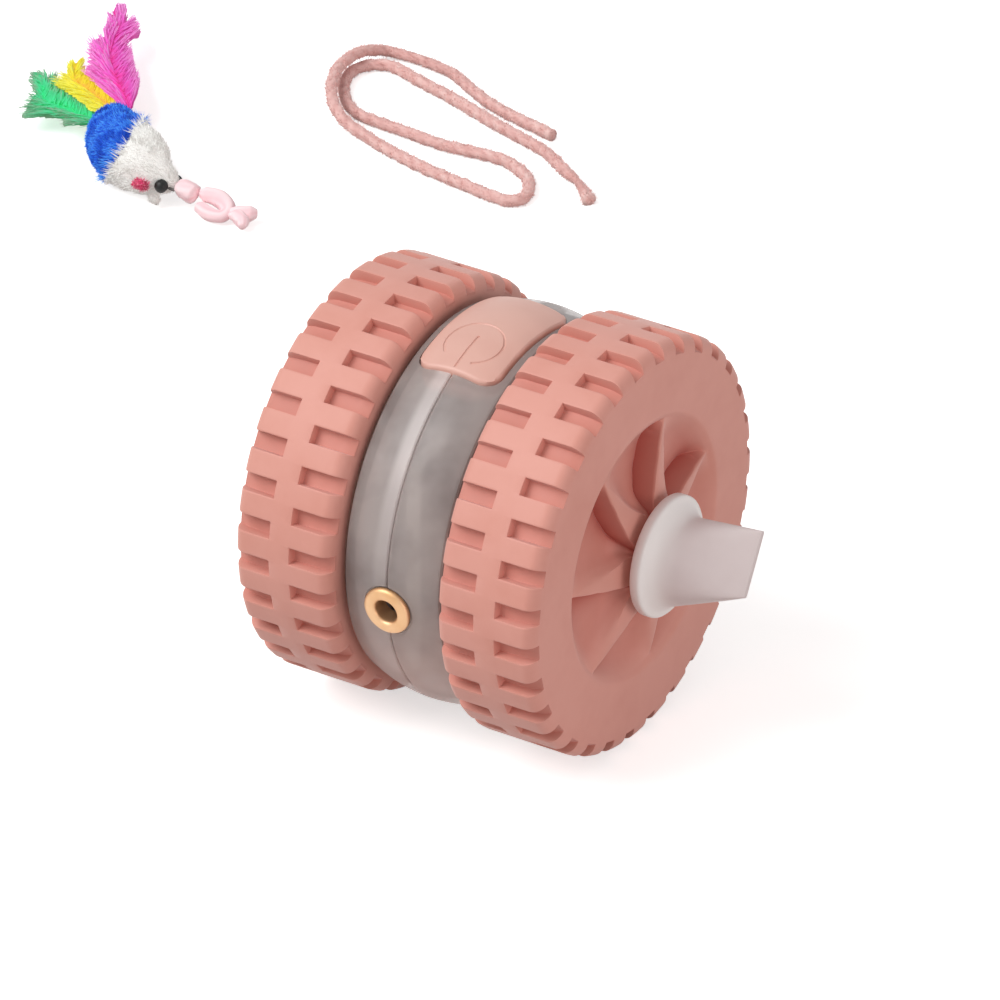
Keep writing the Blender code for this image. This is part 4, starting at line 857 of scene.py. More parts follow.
    def mesh(self, turn: float) -> tuple[np.ndarray, Faces, np.ndarray]:
        """The whole tyre as one closed mesh.

        Args:
            turn: How far the wheel is turned at rest.

        Returns:
            Points, faces and the share of painted shade at each point.
        """
        verts, angles, depth = self.tread(turn)
        rows, cols = depth.shape
        faces = grid_faces(rows, cols)
        radii = [self.dish_edge_r, 26.0, 25.8, 25.6, 25.4, 25.2, 25.0, 24.7, 24.4, 24.1, 23.8, 23.4, 23.0,
                 22.5, 22.0, 21.2, 20.4, 19.5, 18.5, 17.5, 16.5, 15.5, 14.5, 13.5, 12.6, 11.8, 11.0, 10.4,
                 9.8, 9.2, 8.4, self.hole_r]
        rings = [(radius, self.dish_row(radius)) for radius in radii]
        last = rings[-1][1]
        for radius in (self.hole_r, self.dish_edge_r):
            back = last.copy()
            back[:, 1] = self.web_back
            rings.append((radius, back))
        dish = [round_axle(ring[:, 1], np.full(len(ring), radius), ring[:, 0]) for radius, ring in rings]
        start, width = len(verts), len(last)
        faces += grid_faces(len(rings), width, start)
        front = list(range(start, start + width))
        rear = list(range(start + (len(rings) - 1) * width, start + len(rings) * width))
        faces += zip_rings(list(range(cols)), angles, front, rings[0][1][:, 0])
        faces += zip_rings(list(range((rows - 1) * cols, rows * cols)), angles, rear, last[:, 0])
        # painted shade of the notches and the dish
        tint = np.concatenate([depth.ravel()] + [ring[:, 2] for _, ring in rings])
        return np.vstack([verts, np.concatenate(dish)]), faces, tint

    def build(self, side: str, turn: float) -> None:
        """Add the tyre of one side."""
        verts, faces, tint = self.mesh(turn)
        place_mesh(f"{side}_tread", to_side(verts, side), faces, RUBBER, f"{side}_wheel", Slot.RUBBER,
                   [f"{side}_tyre"], sharp=42.0, tint=tint)


@dataclass(frozen=True)
class Paddle:
    """Hub flange: a plain cap on the left, drawn out into a flat blade that leans back on the right."""

    peg_r: float = 3.0
    peg_x: float = 26.5
    back_x: float = 35.2
    edge_x: float = 37.5
    flange_r: float = 11.65
    root_x: float = 40.6
    root_r: float = 8.4
    end_x: float = 53.8
    end_high: float = 9.5
    end_low: float = 3.1
    end_half: float = 0.7
    lean: float = 30.0
    rounding: float = 0.15
    neck: tuple[tuple[float, float], ...] = ((38.2, 9.9), (38.9, 9.25), (39.7, 8.75))
    sides: int = 96

    def ring(self, share: float) -> np.ndarray:
        """Section of the blade as thickness and width, from round at 0 to flat at 1."""
        high = self.root_r + (self.end_high - self.root_r) * share
        low = self.root_r + (self.end_low - self.root_r) * share
        thick = self.root_r + (self.end_half - self.root_r) * share
        power = 1.0 - 0.8 * share
        angle = 2 * math.pi * (np.arange(self.sides) + 0.5) / self.sides
        up, out = np.cos(angle), np.sin(angle)
        width = np.abs(up) ** power * np.where(up > 0, high, -low)
        return np.stack([np.abs(out) ** power * thick * np.sign(out), width], axis=1)

    def build(self, side: str) -> None:
        """Add the hub piece of one side."""
        back, edge, wide = self.back_x, self.edge_x, self.flange_r
        round_part = [(self.peg_x, 0.4), (self.peg_x, self.peg_r), (back, self.peg_r), (back, wide - 0.6),
                      (back + 0.05, wide - 0.35), (back + 0.18, wide - 0.15), (back + 0.4, wide),
                      (edge - 0.6, wide), (edge - 0.3, wide - 0.08), (edge - 0.1, wide - 0.28),
                      (edge, wide - 0.6), (edge + 0.15, wide - 1.1), *self.neck]
        rings = []
        for x, radius in round_part:
            rings.append((x, self.ring(0.0) * (radius / self.root_r)))
        if side == "right":
            for share in np.linspace(0.0, 1.0, 26):
                rings.append((self.root_x + (self.end_x - self.rounding - self.root_x) * share,
                              self.ring(share)))
            end = self.ring(1.0)
            rings.append((self.end_x, end - np.clip(end, -self.rounding, self.rounding)))
        else:
            rings += [(self.root_x - self.rounding, self.ring(0.0)), (self.root_x, self.ring(0.0) * 0.98)]
        tilt = math.radians(self.lean)
        verts = []
        for x, section in rings:
            thick, width = section[:, 0], section[:, 1]
            y = thick * math.cos(tilt) + width * math.sin(tilt)
            z = width * math.cos(tilt) - thick * math.sin(tilt)
            verts.append(np.stack([np.full(self.sides, x), y, AXLE_H + z], axis=1))
        faces = stack_faces(len(rings), self.sides)
        name, node = ("hub_blade", "right_paddle") if side == "right" else ("hub_cap", "left_hub_cap")
        place_mesh(f"{side}_{name}", to_side(np.concatenate(verts), side), faces, PADDLE_PP, f"{side}_wheel",
                   Slot.PADDLE, [node], sharp=35.0)


@dataclass(frozen=True)
class Barrel:
    """Frosted barrel in two halves, with its button and its eyelet."""

    seam_r: float = 37.9
    drop: float = 2.3
    half: float = 10.3
    corner: float = 0.9
    wall: float = 1.6
    drum_r: float = 28.0
    drum_x: float = 22.0
    bore_r: float = 5.19
    seam_gap: float = 0.3
    screw_y: float = 24.5
    screw_z: float = 18.5
    boss_r: float = 4.0
    boss_gap: float = 1.8
    thread_r: float = 1.6
    thread_l: float = 7.3
    head_r: float = 2.6
    port: tuple[tuple[float, float, float], ...] = ((-4.8, 23.25, 24.1), (4.8, 45.0, 27.9))
    window_gap: float = 0.3
    window_reach: tuple[float, float] = (-4.0, 8.0)
    button_angle: float = 88.6
    button_l: float = 28.1
    button_w: float = 16.8
    button_corner: float = 3.6
    proud: float = 0.5
    icon_angle: float = 78.7
    icon_r: float = 5.5
    groove_r: float = 0.27
    cap_edge: float = 0.55
    cap_low: float = -2.9
    lip_reach: tuple[float, float] = (-2.85, -1.9)
    stem_r: float = 2.0
    eyelet_angle: float = -5.5
    eyelet_seat: tuple[float, float] = (37.1, 5.05)
    eyelet_hole: tuple[float, float] = (33.0, 3.4)
    clear_r: float = 42.0

    def radius(self, x: float) -> float:
        """Outer radius at a distance from the seam."""
        return self.seam_r - self.drop * (x / self.half) ** 2

    def half_profile(self) -> list[tuple[float, float]]:
        """Profile of one half as (distance from the seam, radius)."""
        near = self.seam_gap / 2
        edge = self.half - self.corner
        outer = [(x, self.radius(x)) for x in np.linspace(near + 0.25, edge, 9)]
        inner = [(x, self.radius(x) - self.wall) for x in np.linspace(self.half - self.wall, near, 7)]
        drum_in = self.drum_r - self.wall
        corner = [(edge + self.corner * math.sin(a), self.radius(edge) - self.corner * (1 - math.cos(a)))
                  for a in (0.5, 1.0, math.pi / 2)]
        return ([(near, self.radius(0.0) - 0.2)] + outer + corner
                + [(self.half, self.drum_r), (self.drum_x - self.corner, self.drum_r),
                   (self.drum_x, self.drum_r - self.corner), (self.drum_x, self.bore_r),
                   (self.drum_x - self.wall, self.bore_r), (self.drum_x - self.wall, drum_in),
                   (self.half - self.wall, drum_in)] + inner)

    def out_at(self, angle: float, radius: float, x: float = 0.0) -> np.ndarray:
        """Point at an angle round the axle."""
        turn = math.radians(angle)
        return np.array([x, -radius * math.cos(turn), AXLE_H + radius * math.sin(turn)])

    def outline(self, length: float, width: float, corner: float, count: int = 12) -> np.ndarray:
        """Rounded rectangle as (across, along) points, centred on zero."""
        points = []
        corners = ((1, 1), (-1, 1), (-1, -1), (1, -1))
        for i, (a, b) in enumerate(corners):
            for t in np.linspace(0.0, math.pi / 2, count):
                turn = i * math.pi / 2 + t
                points.append((a * (width / 2 - corner) + corner * math.cos(turn),
                               b * (length / 2 - corner) + corner * math.sin(turn)))
            nxt = corners[(i + 1) % 4]
            last = points[-1]
            goal = (nxt[0] * (width / 2 - corner) + corner * math.cos((i + 1) * math.pi / 2),
                    nxt[1] * (length / 2 - corner) + corner * math.sin((i + 1) * math.pi / 2))
            for t in np.linspace(0.0, 1.0, 14)[1:-1]:
                points.append((last[0] + (goal[0] - last[0]) * t, last[1] + (goal[1] - last[1]) * t))
        return np.array(points)

    def on_button(self, across: np.ndarray, along: np.ndarray, offset: np.ndarray | float) -> np.ndarray:
        """Points over the button's outline at an offset from the barrel's surface.

        Args:
            across: Distance along the axle.
            along: Distance towards the back, measured flat.
            offset: Height above the barrel's surface.

        Returns:
            The points.
        """
        across, along, offset = np.broadcast_arrays(across, along, offset)
        radius = self.seam_r - self.drop * (across / self.half) ** 2 + offset
        up = np.sqrt(np.maximum(radius ** 2 - along ** 2, 0.0))
        tilt = math.radians(90.0 - self.button_angle)
        y = along * math.cos(tilt) - up * math.sin(tilt)
        z = along * math.sin(tilt) + up * math.cos(tilt)
        return np.stack([across, y, AXLE_H + z], axis=-1)

    def shell(self, side: str) -> None:
        """Add one half of the barrel, with its openings and screw bosses."""
        sign = 1.0 if side == "right" else -1.0
        verts, faces = revolve([(sign * x, r) for x, r in self.half_profile()], 144)
        half = Cutter(f"{side}_half", verts, faces)
        for y in (-self.screw_y, self.screw_y):
            for z in (-self.screw_z, self.screw_z):
                low, high = self.boss_gap, self.half - 0.3
                boss = cylinder((sign * low, y, AXLE_H + z), (sign * high, y, AXLE_H + z), self.boss_r)
                half.apply(*boss, "UNION")
                reach = self.thread_l if side == "right" else self.half + 4
                half.apply(*cylinder((0.0, y, AXLE_H + z), (sign * reach, y, AXLE_H + z), self.thread_r))
                if side == "left":
                    sink = (sign * (self.half - self.head_r), y, AXLE_H + z)
                    half.apply(*cylinder(sink, (sign * (self.half + 4), y, AXLE_H + z), self.head_r))
        ring = self.outline(self.button_l + 2 * self.window_gap, self.button_w + 2 * self.window_gap,
                            self.button_corner + self.window_gap)
        window = np.concatenate([self.on_button(ring[:, 0], ring[:, 1], reach)
                                 for reach in self.window_reach])
        half.apply(window, stack_faces(2, len(ring)))
        clear = self.out_at(self.eyelet_angle, self.clear_r)
        for (depth, radius), sides in ((self.eyelet_seat, 64), (self.eyelet_hole, 48)):
            half.apply(*cylinder(self.out_at(self.eyelet_angle, depth), clear, radius, sides))
        half.apply(*box(*[(x, y, AXLE_H + z) for x, y, z in self.port]))
        verts, faces = half.result()
        place_mesh(f"{side}_barrel_half", verts, faces, SHELL_PC, "chassis", Slot.SHELL, [f"shell_{side}"],
                   sharp=28.0)

    def cap(self) -> tuple[np.ndarray, Faces]:
        """The button's cap with its rounded edges, its lip and its stem."""
        ring = self.outline(self.button_l, self.button_w, self.button_corner)
        rows = []
        for share in (0.02, 0.2, 0.4, 0.6, 0.78, 0.9, 0.95):
            rows.append(self.on_button(ring[:, 0] * share, ring[:, 1] * share, self.proud))
        edge = self.cap_edge
        normal = ring - np.sign(ring) * np.minimum(
            np.abs(ring), (self.button_w / 2 - edge, self.button_l / 2 - edge))
        normal = normal / np.maximum(np.linalg.norm(normal, axis=1, keepdims=True), 1e-9)
        for angle in (0.0, 20.0, 40.0, 60.0, 80.0):
            turn = math.radians(angle)
            inset = ring - normal * edge * (1 - math.sin(turn))
            rows.append(self.on_button(inset[:, 0], inset[:, 1], self.proud - edge * (1 - math.cos(turn))))
        rows.append(self.on_button(ring[:, 0], ring[:, 1], self.cap_low))
        return np.concatenate(rows), stack_faces(len(rows), len(ring))

    def engraving(self) -> list[tuple[np.ndarray, Faces]]:
        """Cutters for the engraved switch symbol: an open ring and a stem through its gap."""
        shift = -self.seam_r * math.sin(math.radians(self.button_angle - self.icon_angle))
        turn = np.radians(np.linspace(-66.0, 226.0, 73))
        across, along = self.icon_r * np.cos(turn), shift + self.icon_r * np.sin(turn)
        ring = self.on_button(across, along, self.proud + 0.03)
        run = np.linspace(-6.8, 1.6, 11)
        stem = self.on_button(np.zeros(11), shift + run, self.proud + 0.03)
        return [tube_mesh(line, np.full(len(line), self.groove_r), 8) for line in (ring, stem)]

    def button(self) -> None:
        """Add the button."""
        verts, faces = self.cap()
        cap = Cutter("button_cap", verts, faces)
        for tool in self.engraving():
            cap.apply(*tool)
        lip = self.outline(self.button_l + 3.2, self.button_w - 3.4, self.button_corner)
        plate = np.concatenate([self.on_button(lip[:, 0], lip[:, 1], reach) for reach in self.lip_reach])
        cap.apply(plate, stack_faces(2, len(lip)), "UNION")
        cap.apply(*cylinder(self.out_at(self.button_angle, 29.0), self.out_at(self.button_angle, 35.6),
                            self.stem_r), "UNION")
        verts, faces = cap.result()
        place_mesh("engraved_button", verts, faces, BUTTON_ABS, "button", Slot.BUTTON, ["power_button"],
                   sharp=28.0)

    def eyelet(self) -> None:
        """Add the rolled eyelet, turned about the line that leads out through it."""
        profile = [(2.3, 34.9), (2.3, 37.7), (2.33, 38.05), (2.45, 38.35), (2.7, 38.58), (3.0, 38.7),
                   (3.4, 38.7), (3.9, 38.66), (4.3, 38.5), (4.58, 38.25), (4.72, 37.95), (4.75, 37.6),
                   (4.7, 37.4), (3.1, 37.4), (3.1, 34.9)]
        radius, up = np.array(profile).T
        angle = np.linspace(0.0, 2 * math.pi, 72, endpoint=False)
        turn = math.radians(self.eyelet_angle)
        out = np.array([0.0, -math.cos(turn), math.sin(turn)])
        side = np.array([0.0, math.sin(turn), math.cos(turn)])
        ring = np.array([1.0, 0.0, 0.0])[None] * np.cos(angle)[:, None] + side[None] * np.sin(angle)[:, None]
        verts = radius[:, None, None] * ring[None] + up[:, None, None] * out + np.array([0.0, 0.0, AXLE_H])
        place_mesh("rolled_eyelet", verts.reshape(-1, 3), grid_faces(len(profile), 72, wrap_rows=True), BRASS,
                   "chassis", Slot.BRASS, ["eyelet"], sharp=50.0)

    def build(self) -> None:
        """Add both halves, the button and the eyelet."""
        for side in ("right", "left"):
            self.shell(side)
        self.button()
        self.eyelet()


# Route of the rope in metres: x, y and height of its middle above the floor
ROPE_ROUTE = [
    (-0.1001, 0.1855, 0.0013), (-0.1122, 0.1885, 0.0013), (-0.1183, 0.1905, 0.0013),
    (-0.1238, 0.1932, 0.0013), (-0.1283, 0.1958, 0.0013), (-0.1325, 0.1978, 0.0013),
    (-0.1401, 0.1991, 0.0013), (-0.1476, 0.1985, 0.0016), (-0.1496, 0.1952, 0.0029),
    (-0.1504, 0.1913, 0.0041), (-0.1506, 0.1868, 0.0045), (-0.1504, 0.1825, 0.0044),
    (-0.1487, 0.1779, 0.0044), (-0.1464, 0.1737, 0.0043), (-0.1438, 0.1701, 0.0040),
    (-0.1410, 0.1677, 0.0033), (-0.1384, 0.1666, 0.0023), (-0.1350, 0.1659, 0.0015),
    (-0.1251, 0.1625, 0.0013), (-0.1137, 0.1597, 0.0013), (-0.1032, 0.1581, 0.0013),
    (-0.0978, 0.1572, 0.0013), (-0.0939, 0.1571, 0.0013), (-0.0917, 0.1588, 0.0013),
    (-0.0919, 0.1621, 0.0013), (-0.0937, 0.1656, 0.0013), (-0.0965, 0.1684, 0.0013),
    (-0.1028, 0.1712, 0.0013), (-0.1101, 0.1710, 0.0013), (-0.1179, 0.1703, 0.0013),
    (-0.1271, 0.1711, 0.0013), (-0.1347, 0.1717, 0.0013), (-0.1383, 0.1722, 0.0013),
    (-0.1418, 0.1739, 0.0013), (-0.1451, 0.1769, 0.0013), (-0.1479, 0.1808, 0.0013),
    (-0.1500, 0.1857, 0.0013), (-0.1498, 0.1892, 0.0013), (-0.1486, 0.1915, 0.0013),
    (-0.1462, 0.1931, 0.0013), (-0.1430, 0.1934, 0.0013), (-0.1351, 0.1910, 0.0013),
    (-0.1256, 0.1882, 0.0013), (-0.1143, 0.1841, 0.0013), (-0.1024, 0.1804, 0.0013),
    (-0.0974, 0.1785, 0.0013), (-0.0902, 0.1740, 0.0013), (-0.0853, 0.1711, 0.0013),
    (-0.0797, 0.1661, 0.0013),
]


@dataclass(frozen=True)
class Rope:
    """Fuzzy chenille rope that lies in a loose loop, cut square at one end and frayed at the other."""

    diameter: float = 2.6
    lay: float = 7.0
    points: int = 420
    sides: int = 18
    fuzz: int = 15000

    def build(self) -> None:
        rng = np.random.default_rng(7)
        line = smooth_curve(np.array(ROPE_ROUTE) / METRES, self.points)
        run = np.concatenate([[0.0], np.cumsum(np.linalg.norm(np.diff(line, axis=0), axis=1))])
        total = run[-1]
        swell = np.interp(run, (0, 40, 66, 90, 150, 200, 240, total - 11, total - 8, total - 3, total),
                          (1.06, 0.9, 1.0, 1.0, 1.03, 0.95, 1.05, 0.95, 0.6, 0.95, 1.2))
        angle = np.linspace(0.0, 2 * math.pi, self.sides, endpoint=False)
        twist = np.cos(2 * (angle[None, :] - 2 * math.pi * run[:, None] / self.lay))
        lumps = np.array([[noise.noise(Vector((math.cos(a) * 1.5, math.sin(a) * 1.5, s / 1.6)))
                           for a in angle]
                          for s in run])
        radii = self.diameter / 2 * swell[:, None] * (0.92 + 0.05 * twist + 0.16 * lumps)
        verts, faces = tube_mesh(line, radii, self.sides)
        verts[:, 2] = np.maximum(verts[:, 2], 0.02)
        roots, normals = scatter(verts, faces, self.fuzz, rng)
        lean = normals * 0.9 + rng.normal(size=normals.shape) * 0.55
        length = rng.uniform(0.25, 0.7, self.fuzz)
        near_end = np.linalg.norm(roots - line[-1], axis=1) < 2.5
        length[near_end] *= 1.8
        hairs, hair_faces = strand_mesh(roots - normals * 0.05, lean, length, 0.13,
                                        rng.normal(size=normals.shape) * 0.5, rng)
        hairs[:, 2] = np.maximum(hairs[:, 2], 0.02)
        # painted shade: the rope is darker where its surface dips in and paler where it bulges
        tint = np.concatenate([0.45 + 0.6 * (radii.ravel() / (self.diameter / 2 * 0.92) - 1.0) / 0.2,
                               [0.5, 0.5], np.repeat(rng.uniform(0.15, 1.0, self.fuzz), 5)])
        verts, faces = join([(verts, faces), (hairs, hair_faces)])
        piece = place_mesh("chenille_rope", verts, faces, CORD, "chassis", Slot.CORD, ["rope"], sharp=180.0,
                           tint=tint, closed=False)
        LOG.info("rope: %.1f mm long", total)


# Places on the plush mouse as shares of its radius, from the floor under its middle
MOUSE_SHARES = [
    (-1.66, 1.80, 0.95, 0.08), (-1.62, 1.72, 0.95, 0.40), (-1.46, 1.38, 0.95, 0.62),
    (-1.14, 0.84, 0.95, 0.82), (-0.68, 0.35, 0.97, 0.94), (-0.20, 0.03, 1.00, 1.00),
    (0.22, -0.14, 0.99, 0.99), (0.52, -0.23, 0.94, 0.91), (0.80, -0.31, 0.86, 0.78),
    (1.09, -0.34, 0.79, 0.61), (1.36, -0.33, 0.73, 0.45), (1.61, -0.31, 0.68, 0.26),
    (1.76, -0.29, 0.65, 0.08),
]
TIE_SHARES = [
    (2.41, -0.27, 0.60), (2.60, -0.22, 0.59), (2.82, -0.15, 0.56), (3.03, -0.14, 0.50),
    (3.22, -0.19, 0.42), (3.36, -0.35, 0.34), (3.31, -0.56, 0.27), (3.09, -0.64, 0.26),
    (2.84, -0.61, 0.26), (2.63, -0.54, 0.29), (2.44, -0.48, 0.33),
]


@dataclass(frozen=True)
class Plume:
    """One dyed feather: a quill, a soft vane and barbs along both sides."""

    colour: str
    finish: Fibrous
    slot: Slot
    length: float
    heading: float
    root: tuple[float, float, float]
    outline: tuple[tuple[float, float], ...]
    barbs: int = 420
    core: float = 0.5
    quill_points: int = 60
    quill_sides: int = 6
    vane_rows: int = 72
    vane_cols: int = 25
    barb_points: int = 6

    def span(self, along: float) -> tuple[float, float]:
        """Where the outline lies on both sides at a share of the length."""
        low, high = 0.0, 0.0
        hits = []
        for (ax, ay), (bx, by) in zip(self.outline, self.outline[1:] + self.outline[:1]):
            if (ax - along) * (bx - along) <= 0 and ax != bx:
                hits.append(ay + (by - ay) * (along - ax) / (bx - ax))
        if hits:
            low, high = min(hits), max(hits)
        return low, high

    def vane(self, quill: np.ndarray, rng: np.random.Generator) -> tuple[np.ndarray, np.ndarray]:
        """Downy sheet under the barbs, with its tints.

        Args:
            quill: Points of the quill in the feather's own axes.
            rng: Source of its streaks.

        Returns:
            Points and the tint at each.
        """
        points, tints = [], []
        streak = rng.uniform(-0.12, 0.12, self.vane_cols)
        for along in np.linspace(0.0, 0.985, self.vane_rows):
            low, high = self.span(along)
            middle = float(np.interp(along * self.length, quill[:, 0], quill[:, 1]))
            ragged = rng.uniform(0.88, 1.0, 2)
            for j, across in enumerate(np.linspace(-1.0, 1.0, self.vane_cols)):
                edge = (high * ragged[0] if across > 0 else low * ragged[1]) * self.length
                out = middle + (edge - middle) * abs(across)
                lift = -0.25 + 0.5 * noise.noise(Vector((along * 9.0, across * 4.0, self.heading)))
                points.append((along * self.length - 1.2 * abs(across) * along, out, lift))
                tints.append(0.1 + 0.75 * abs(across) ** 0.8 + streak[j])
        return np.array(points), np.array(tints)

    def build(self, centre: np.ndarray, radius: float, dip: float, seed: int) -> None:
        """Add the feather.

        Args:
            centre: Middle of the mouse on the floor.
            radius: Radius of the mouse's body.
            dip: How far the feather slopes down.
            seed: Start of its random numbers.
        """
        rng = np.random.default_rng(seed)
        turn, slope = math.radians(self.heading), math.radians(dip)
        x_axis = np.array([math.cos(slope) * math.cos(turn), math.cos(slope) * math.sin(turn),
                           -math.sin(slope)])
        y_axis = np.array([-math.sin(turn), math.cos(turn), 0.0])
        z_axis = np.cross(x_axis, y_axis)
        origin = centre + np.array(self.root) * radius
        quill = []
        for along in np.linspace(-0.05, 0.96, 40):
            low, high = self.span(max(along, 0.0))
            share = 0.5 + (self.core - 0.5) * min(1.0, max(along, 0.0) * 4.0)
            middle = (low + (high - low) * share) * self.length
            quill.append((along * self.length, middle, 0.35 * math.sin(3.0 * along)))
        quill_line = smooth_curve(quill, self.quill_points)
        parts = [tube_mesh(quill_line, np.linspace(0.28, 0.06, self.quill_points), self.quill_sides)]
        tints = [np.full(self.quill_points * self.quill_sides + 2, 0.05)]
        vane, vane_tint = self.vane(quill_line, rng)
        parts.append((vane, grid_faces(self.vane_rows, self.vane_cols, wrap_cols=False)))
        tints.append(vane_tint)
        step = rng.uniform(0.0, 1.0, self.barbs)
        side = np.where(np.arange(self.barbs) % 2 == 0, 1.0, -1.0)
        barb_verts, barb_faces, barb_tints = [], [], []
        rows, stations = self.barb_points, np.linspace(0, 1, self.quill_points)
        for i, (start, way) in enumerate(zip(step, side)):
            base = np.array([np.interp(start, stations, quill_line[:, k]) for k in range(3)])
            reach = min(start + rng.uniform(0.08, 0.2), 0.995)
            low, high = self.span(reach)
            edge = (high if way > 0 else low) * self.length * rng.uniform(0.55, 1.06)
            end = np.array([reach * self.length + rng.normal() * 0.3, edge, base[2] + rng.uniform(-0.5, 1.0)])
            bend = (base + end) / 2 + np.array([-0.12 * abs(edge - base[1]), 0.10 * (edge - base[1]), 0.5])
            t = np.linspace(0.0, 1.0, rows)[:, None]
            line = base * (1 - t) ** 2 + bend * 2 * t * (1 - t) + end * t ** 2
            line += np.array([0.0, 0.0, 0.15]) * np.sin(t * 9 + rng.uniform(0, 6))
            flow = unit(np.gradient(line, axis=0))
            up = unit(rng.normal(size=3) * 0.35 + (0.0, 0.0, 1.0))
            across = unit(np.cross(flow, up)) * (0.5 * rng.uniform(0.35, 0.7) * (1.0 - 0.8 * t))
            start_at = i * rows * 2
            barb_verts.append(np.stack([line - across, line + across], axis=1).reshape(-1, 3))
            barb_faces += grid_faces(rows, 2, start_at, wrap_cols=False)
            shade = rng.uniform(-0.12, 0.12)
            barb_tints.append(np.repeat(np.linspace(0.12, 0.95, rows) + shade, 2))
        parts.append((np.concatenate(barb_verts), barb_faces))
        tints.append(np.concatenate(barb_tints))
        verts, faces = join(parts)
        world = origin + verts[:, 0:1] * x_axis + verts[:, 1:2] * y_axis + verts[:, 2:3] * z_axis
        world[:, 2] = np.maximum(world[:, 2], 0.1)
        place_mesh(f"{self.colour}_plume", world, faces, self.finish, "mouse", self.slot,
                   [f"feather_{self.colour}"], sharp=180.0, tint=np.concatenate(tints), closed=False)


PLUMES = (
    Plume("magenta", MAGENTA, Slot.MAGENTA, 48.5, 121.0, (-1.44, 1.99, 1.14),
          ((-0.06, 0.02), (-0.06, -0.02), (0.03, -0.02), (0.13, -0.03), (0.27, -0.04), (0.40, -0.01),
           (0.53, 0.01), (0.60, 0.02), (0.64, 0.05), (0.71, 0.04), (0.71, -0.01), (0.79, -0.02), (0.90, 0.02),
           (0.89, 0.07), (1.00, 0.09), (0.94, 0.13), (0.81, 0.13), (0.72, 0.14), (0.71, 0.19), (0.57, 0.21),
           (0.45, 0.20), (0.34, 0.21), (0.28, 0.17), (0.15, 0.10), (0.02, 0.02)), 1100),
    Plume("yellow", YELLOW, Slot.YELLOW, 25.7, 140.0, (-1.89, 1.83, 0.91),
          ((-0.06, 0.02), (-0.06, -0.02), (0.10, -0.15), (0.24, -0.13), (0.41, -0.07), (0.66, -0.02),
           (0.82, 0.01), (1.00, -0.06), (1.00, 0.04), (0.99, 0.09), (0.86, 0.12), (0.78, 0.25), (0.71, 0.31),
           (0.58, 0.25), (0.39, 0.20), (0.20, 0.16), (0.03, 0.12)), 700),
    Plume("green", GREEN, Slot.GREEN, 28.4, 165.0, (-1.87, 1.61, 0.68),
          ((-0.09, 0.02), (-0.09, -0.02), (0.19, -0.05), (0.33, -0.09), (0.50, -0.13), (0.72, -0.18),
           (0.86, -0.27), (0.97, -0.23), (1.00, -0.19), (0.96, -0.07), (0.82, 0.01), (0.75, 0.14),
           (0.65, 0.27), (0.63, 0.35), (0.55, 0.37), (0.46, 0.26), (0.33, 0.18), (0.21, 0.27), (0.24, 0.19),
           (0.13, 0.16), (0.09, 0.05)), 800),
)


